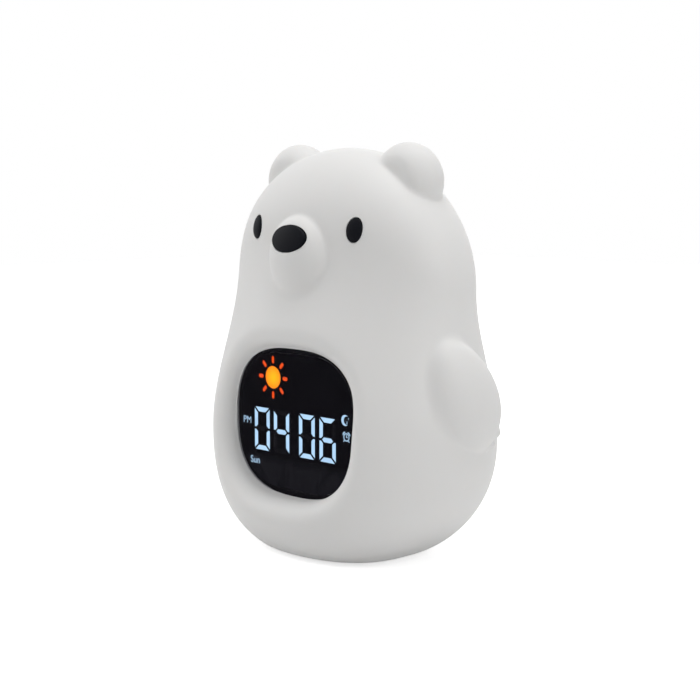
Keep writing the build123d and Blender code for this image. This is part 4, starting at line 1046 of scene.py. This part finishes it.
class BEAR_OT_skin(bpy.types.Operator):
    """Soft white skin of the bear with its openings"""

    bl_idname = "bear.skin"
    bl_label = "Skin"
    bl_options = {"REGISTER", "UNDO"}

    def execute(self, context):
        scene = context.scene
        form = BearForm(scene)
        surface = level_surface(form, 0.0, SKIN_PITCH)
        skin = new_piece("bear_skin", *surface, silicone_finish(scene.bear_looks.silicone))
        hollow = level_surface(form, -scene.bear_body.wall, HOLLOW_PITCH)
        cut_out(skin, cutting_tool("skin_hollow", *hollow))
        for tool in self.opening_tools(form):
            cut_out(skin, tool)
        soften(skin.data, SKIN_CREASE)
        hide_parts("silicone_skin")
        return {"FINISHED"}

    def opening_tools(self, form):
        """Cutters of the window, the rear panel, the base and the eyes and nose."""
        x, z = form.window_centre
        outline = superellipse(*form.window_half, form.display.window_power, WINDOW_POINTS)
        outline = spread(outline, form.display.window_gap, (0, 1, 0)) + np.array((x, form.window_y, z))
        ends = [outline + np.array((0, WINDOW_IN, 0)), outline - np.array((0, WINDOW_OUT, 0))]
        yield cutting_tool("window_tool", *capped_tube(ends))
        low, high, middle = node_box("rear_panel")
        half = (high - low) / 2 + PANEL_GAP
        outline = rounded_rectangle(half[0], half[2], PANEL_CORNER)
        outline = outline + np.array((middle[0], high[1], middle[2]))
        yield lip_tool("panel_tool", form, outline, (0, 1, 0), PANEL_DEPTH, PANEL_LIP)
        low, high, middle = node_box("base_cover")
        turns = full_turn(BASE_POINTS)
        ring = np.stack([np.cos(turns), np.sin(turns), np.zeros(len(turns))], axis=-1)
        ring = ring * ((high[0] - low[0]) / 2 + BASE_GAP) + np.array((middle[0], middle[1], low[2]))
        yield lip_tool("base_tool", form, ring, (0, 0, -1), BASE_DEPTH, BASE_LIP)
        for name, place in inlay_places(form).items():
            yield cutting_tool(f"{name}_tool", *inlay_surface(form, place, POCKET_PROFILE))


class BEAR_OT_face(bpy.types.Operator):
    """Eyes and nose as smooth black domed inlays"""

    bl_idname = "bear.face"
    bl_label = "Eyes and nose"
    bl_options = {"REGISTER", "UNDO"}

    def execute(self, context):
        form = BearForm(context.scene)
        finish = inlay_finish(context.scene.bear_looks.inlay)
        for name, place in inlay_places(form).items():
            flatness = form.features.nose_flat if name == "nose" else 0.0
            surface = inlay_surface(form, place, INLAY_PROFILE, flatness)
            inlay = new_piece(f"{name}_inlay", *surface, finish, crease=INLAY_CREASE)
            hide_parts(name)
        return {"FINISHED"}


# Decimals of a metre at which two corners are the same
WELD_DIGITS = 7


def islands(name):
    """Middle and size of each separate solid of a CAD node."""
    node = frame["nodes"][name]
    points = np.array([tuple(node.matrix_world @ vertex.co) for vertex in node.data.vertices])
    places, spot = np.unique(points.round(WELD_DIGITS), axis=0, return_inverse=True)
    ends = spot.reshape(-1)[np.array([tuple(edge.vertices) for edge in node.data.edges])]
    group, joined = np.arange(len(places)), None
    while joined is None or (joined != group).any():
        joined = group.copy()
        lowest = np.minimum(group[ends[:, 0]], group[ends[:, 1]])
        for side in (0, 1):
            np.minimum.at(group, ends[:, side], lowest)
    solids = [places[group == mark] for mark in np.unique(group)]
    corners = [(solid.min(axis=0), solid.max(axis=0)) for solid in solids]
    return [((low + high) / 2, high - low) for low, high in corners]


# Black ink over the signs' light and the signs themselves, in front of it
MASK_BEHIND = 0.03 * MM
SIGN_THICK = 0.05 * MM
# Beyond this from the middle a sign stands at the side of the digits
SIGN_SIDE = 10 * MM
SIGN_HIGH = 2.5 * MM
ALARM_RADIUS = 1.4 * MM
MOON_RADIUS = 1.85 * MM
# The moon stands this far to the left, which leaves room for its letters
MOON_ASIDE = 0.2 * MM


class BEAR_OT_display(bpy.types.Operator):
    """Small signs of the display and the black mask round them"""

    bl_idname = "bear.display"
    bl_label = "Display signs"
    bl_options = {"REGISTER", "UNDO"}

    def execute(self, context):
        film, film_middle = node_box("segment_film")[1:]
        sign_y = film_middle[1]
        mask_y = sign_y + MASK_BEHIND
        openings = islands("icon_guides")
        mask = Mark()
        for middle, size in openings:
            mask.bar(middle[0], middle[2], size[0], size[2])
        plate = mask.piece("sign_mask", mask_y, film[1] - mask_y, ink_with_painted_light("sign_mask_ink"))
        signs = self.signs([middle for middle, size in openings])
        lit = glowing("sign_light", context.scene.bear_looks.digits, 1.5, 0.8 * MM)
        sign_piece = signs.piece("display_signs", sign_y, SIGN_THICK, lit)
        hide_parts("icon_guides")
        return {"FINISHED"}

    def signs(self, middles):
        """Weekday and half of the day at the left, alarm and sleep signs at the right, lowest first."""
        mark = Mark()
        middles = sorted(middles, key=lambda middle: middle[2])
        weekday, half_day = [middle for middle in middles if middle[0] < -SIGN_SIDE]
        alarm, sleep = [middle for middle in middles if middle[0] > SIGN_SIDE]
        mark.words("Sun", weekday[0], weekday[2], SIGN_HIGH)
        mark.words("PM", half_day[0], half_day[2], SIGN_HIGH)
        sleeping_moon(mark, sleep[0] - MOON_ASIDE, sleep[2], MOON_RADIUS)
        alarm_clock(mark, alarm[0], alarm[2], ALARM_RADIUS)
        return mark


# How far the print's readable side stands out, and its thickness
PRINT_STAND = 0.20 * MM
PRINT_THICK = 0.15 * MM
# Words over the switch, with how far each stands beside the switch's middle
SWITCH_WORDS = (("ON", 0.6 * MM), ("OFF", -3.0 * MM))
WORD_HIGH = 1.3 * MM
WORD_RISE = 1.9 * MM
BOLT_RISE = 0.1 * MM


class BEAR_OT_symbols(bpy.types.Operator):
    """Printed symbols on the rear buttons and beside the switch and the socket"""

    bl_idname = "bear.symbols"
    bl_label = "Rear symbols"
    bl_options = {"REGISTER", "UNDO"}

    def execute(self, context):
        finish = moulded("symbol_print", (0.06, 0.065, 0.07), 0.5, 0.2 * MM, 0.003 * MM)
        for name, draw in BUTTON_SIGNS.items():
            high, middle = node_box(f"button_{name}")[1:]
            mark = Mark(rear=True)
            draw(mark, -middle[0], middle[2])
            mark.piece(f"symbol_{name}", high[1] + PRINT_STAND, PRINT_THICK, finish, f"{name}_button")
        self.panel_words(finish)
        return {"FINISHED"}

    def panel_words(self, finish):
        """ON and OFF over the switch, and a charging sign over the socket."""
        mark = Mark(rear=True)
        high, knob = node_box("power_switch_knob")[1:]
        row = high[2] + WORD_RISE
        for text, aside in SWITCH_WORDS:
            mark.words(text, aside - knob[0], row, WORD_HIGH)
        socket = node_box("usb_socket")[2]
        mark.polygon(-socket[0], row + BOLT_RISE, CHARGE_BOLT, MM)
        panel = node_box("rear_panel")[1]
        mark.piece("panel_words", panel[1] + PRINT_STAND, PRINT_THICK, finish)


# Painted glow on the foam round the display, standing in for the display's stray light
PAINTED_STRAY_GLOW = {"Emission_Color": (0.009, 0.0085, 0.0105), "Emission_Strength": 1.0}


class BEAR_OT_finishes(bpy.types.Operator):
    """Finishes of every moulding, board and screw that keeps its own shape"""

    bl_idname = "bear.finishes"
    bl_label = "Finishes"
    bl_options = {"REGISTER", "UNDO"}

    def execute(self, context):
        finishes = self.finishes(context.scene.bear_looks)
        for subpart in frame["record"]["subparts"]:
            for slot in frame["nodes"][subpart["node"]].material_slots:
                slot.material = finishes[subpart["material_slot"]]
        return {"FINISHED"}

    def finishes(self, looks):
        """A finish for each material slot of the record."""
        white = looks.plastic
        return {
            "silicone": moulded("silicone_plain", looks.silicone, 0.55),
            "black_inlay": moulded("inlay_plain", looks.inlay, 0.45),
            "window": window_finish(),
            # The black foam carries a painted glow
            "foam": moulded("foam_black", (0.02, 0.02, 0.02), 0.95, 0.25 * MM, 0.08 * MM, **PAINTED_STRAY_GLOW),
            "film": ink_with_painted_light("film_ink"),
            "white_plastic": moulded("reflector_white", white, 0.5),
            "guide_lit": glowing("guide_digits", looks.digits, 1.6, 5 * MM),
            "guide_dark": ink_with_painted_light("guide_dark"),
            "guide_sun": sun_disc("guide_sun", looks.sun, 2.0),
            "guide_rays": glowing("guide_rays", looks.rays, 1.5, 4 * MM),
            "circuit_board": circuit_board("board_green", (0.012, 0.10, 0.035)),
            "led": moulded("led_lens", (0.75, 0.68, 0.30), 0.25, 0.5 * MM, 0.002 * MM),
            "chip": moulded("chip_black", (0.015, 0.015, 0.016), 0.6, 0.15 * MM, 0.01 * MM),
            "case_plastic": moulded("case_milky", scaled(white, 1.05), 0.42),
            "panel_plastic": moulded("panel_white", white, 0.5, 0.30 * MM, 0.012 * MM),
            "steel": plated("socket_steel", (0.60, 0.60, 0.61), 0.28),
            "button_plastic": moulded("button_grey", looks.buttons, 0.4, 0.4 * MM, 0.004 * MM),
            "battery_foil": foil_finish(),
            "white_board": circuit_board("board_white", (0.68, 0.69, 0.68)),
            "diffuser": moulded(
                "diffuser_opal", (0.85, 0.85, 0.84), 0.5, 0.5 * MM, Transmission_Weight=0.3
            ),
            "foot_rubber": moulded("foot_grey", (0.20, 0.20, 0.205), 0.8, 0.25 * MM, 0.02 * MM),
            "speaker_metal": moulded("basket_black", (0.03, 0.03, 0.03), 0.45, 0.5 * MM, Metallic=0.4),
            "speaker_cone": moulded("cone_black", (0.02, 0.02, 0.02), 0.7, 0.6 * MM, 0.03 * MM),
            "magnet": moulded(
                "magnet_ferrite", (0.05, 0.05, 0.052), 0.6, 0.4 * MM, 0.03 * MM, Metallic=0.5
            ),
            "screw_steel": plated("screw_zinc", (0.58, 0.58, 0.60), 0.3),
            "ribbon": ribbon_finish(),
            "plunger": moulded("plunger_red", (0.40, 0.05, 0.04), 0.45),
        }


BLACK, WHITE = (0.0, 0.0, 0.0), (1.0, 1.0, 1.0)
# Strength of the surroundings' light, and of the floor's own that only the eye and gloss meet
AMBIENT = 0.26
FLOOR_LIGHT = 0.66
FLOOR_HALF = 1.6
FLOOR_PARTS = 8
# Name, place, width and power of each lamp
LAMPS = (
    ("lamp_over", (0.10, 0.05, 1.10), 0.8, 5.3),
    ("lamp_front", (0.00, -0.70, 1.00), 0.8, 2.3),
    ("lamp_right", (1.05, 0.15, 0.55), 0.7, 3.2),
    ("lamp_left", (-0.95, -0.45, 0.55), 0.7, 2.9),
    ("lamp_behind", (-0.40, 1.00, 0.60), 0.8, 1.2),
)
LAMP_AIM = Vector((0, 0, 0.07))
CAMERA_PLACE = (0.3662, -0.3639, 0.13145)
CAMERA_TURN = [radians(degrees) for degrees in (83.30, 0.0, 45.217)]
CAMERA_LENS = 74.571


class BEAR_OT_stage(bpy.types.Operator):
    """Floor, lamps, background and camera"""

    bl_idname = "bear.stage"
    bl_label = "Stage"
    bl_options = {"REGISTER", "UNDO"}

    def execute(self, context):
        self.floor()
        self.surroundings(context.scene)
        for lamp in LAMPS:
            self.lamp(*lamp)
        self.camera(context.scene)
        context.scene.view_settings.view_transform = "Standard"
        return {"FINISHED"}

    def floor(self):
        """Pale floor that fades to the white background and keeps the bear's shadow."""
        finish = Finish("pale_floor")
        rough = finish.noise(9 * MM)
        seen = finish.seen("Camera", "Glossy", "Transmission")
        material = finish.surface(
            Base_Color=finish.mix((0.8, 0.8, 0.8), (0.82, 0.82, 0.82), rough),
            Roughness=rough * 0.1 + 0.6,
            Emission_Color=finish.mix(BLACK, WHITE, seen),
            Emission_Strength=FLOOR_LIGHT,
        )
        edge = np.linspace(-FLOOR_HALF, FLOOR_HALF, FLOOR_PARTS + 1)
        points = [(x, y, 0.0) for y in edge for x in edge]
        parts, line = range(FLOOR_PARTS), len(edge)
        starts = [row * line + column for row in parts for column in parts]
        faces = [(start, start + 1, start + line + 1, start + line) for start in starts]
        new_piece("floor_sheet", points, faces, material, body=None)

    def surroundings(self, scene):
        """Even pale surroundings that are seen as plain white."""
        scene.world = bpy.data.worlds.new("studio_white")
        scene.world.use_nodes = True
        nodes = Nodes(scene.world.node_tree)
        ambient, white = [
            nodes.node("ShaderNodeBackground", None, {"Color": shade(WHITE), "Strength": strength})
            for strength in (AMBIENT, 1.0)
        ]
        seen = nodes.seen("Camera", "Glossy", "Transmission")
        either = nodes.node("ShaderNodeMixShader", None, {0: seen, 1: ambient, 2: white})
        nodes.node("ShaderNodeOutputWorld", None, {"Surface": either})

    def lamp(self, name, place, size, watts):
        """Large soft round lamp that faces the bear."""
        light = bpy.data.lights.new(name, "AREA")
        light.shape = "DISK"
        light.size = size
        light.energy = watts
        stand = bpy.data.objects.new(name, light)
        stand.location = place
        stand.rotation_euler = (LAMP_AIM - Vector(place)).to_track_quat("-Z", "Y").to_euler()
        bpy.context.scene.collection.objects.link(stand)

    def camera(self, scene):
        """Camera a little above the middle, to the right of the bear's front."""
        lens = bpy.data.cameras.new("camera")
        lens.sensor_width = 36.0
        lens.lens = CAMERA_LENS
        lens.clip_start = 0.01
        stand = bpy.data.objects.new("camera", lens)
        stand.location = CAMERA_PLACE
        stand.rotation_euler = Euler(CAMERA_TURN)
        scene.collection.objects.link(stand)
        scene.camera = stand


# ---------------------------------------------------------------- add-on


SETTINGS = {
    "bear_body": BEAR_PG_body,
    "bear_features": BEAR_PG_features,
    "bear_display": BEAR_PG_display,
    "bear_looks": BEAR_PG_looks,
}
OPERATORS = (
    BEAR_OT_stage,
    BEAR_OT_finishes,
    BEAR_OT_skin,
    BEAR_OT_face,
    BEAR_OT_display,
    BEAR_OT_symbols,
)


class BEAR_PT_panel(bpy.types.Panel):
    """Settings and operators of the bear clock"""

    bl_idname = "BEAR_PT_panel"
    bl_label = "Bear Clock"
    bl_space_type = "VIEW_3D"
    bl_region_type = "UI"
    bl_category = "Bear Clock"

    def draw(self, context):
        for operator in OPERATORS:
            self.layout.operator(operator.bl_idname)
        for name, group in SETTINGS.items():
            box = self.layout.box()
            for field in group.__annotations__:
                box.prop(getattr(context.scene, name), field)


CLASSES = (*SETTINGS.values(), *OPERATORS, BEAR_PT_panel)


def register():
    for kind in CLASSES:
        bpy.utils.register_class(kind)
    for name, group in SETTINGS.items():
        setattr(bpy.types.Scene, name, PointerProperty(type=group))


def unregister():
    for name in SETTINGS:
        delattr(bpy.types.Scene, name)
    for kind in reversed(CLASSES):
        bpy.utils.unregister_class(kind)


def main():
    """Register the add-on and make every piece."""
    register()
    bpy.ops.bear.stage()
    bpy.ops.bear.finishes()
    bpy.ops.bear.skin()
    bpy.ops.bear.face()
    bpy.ops.bear.display()
    bpy.ops.bear.symbols()


if __name__ == "__main__":
    main()
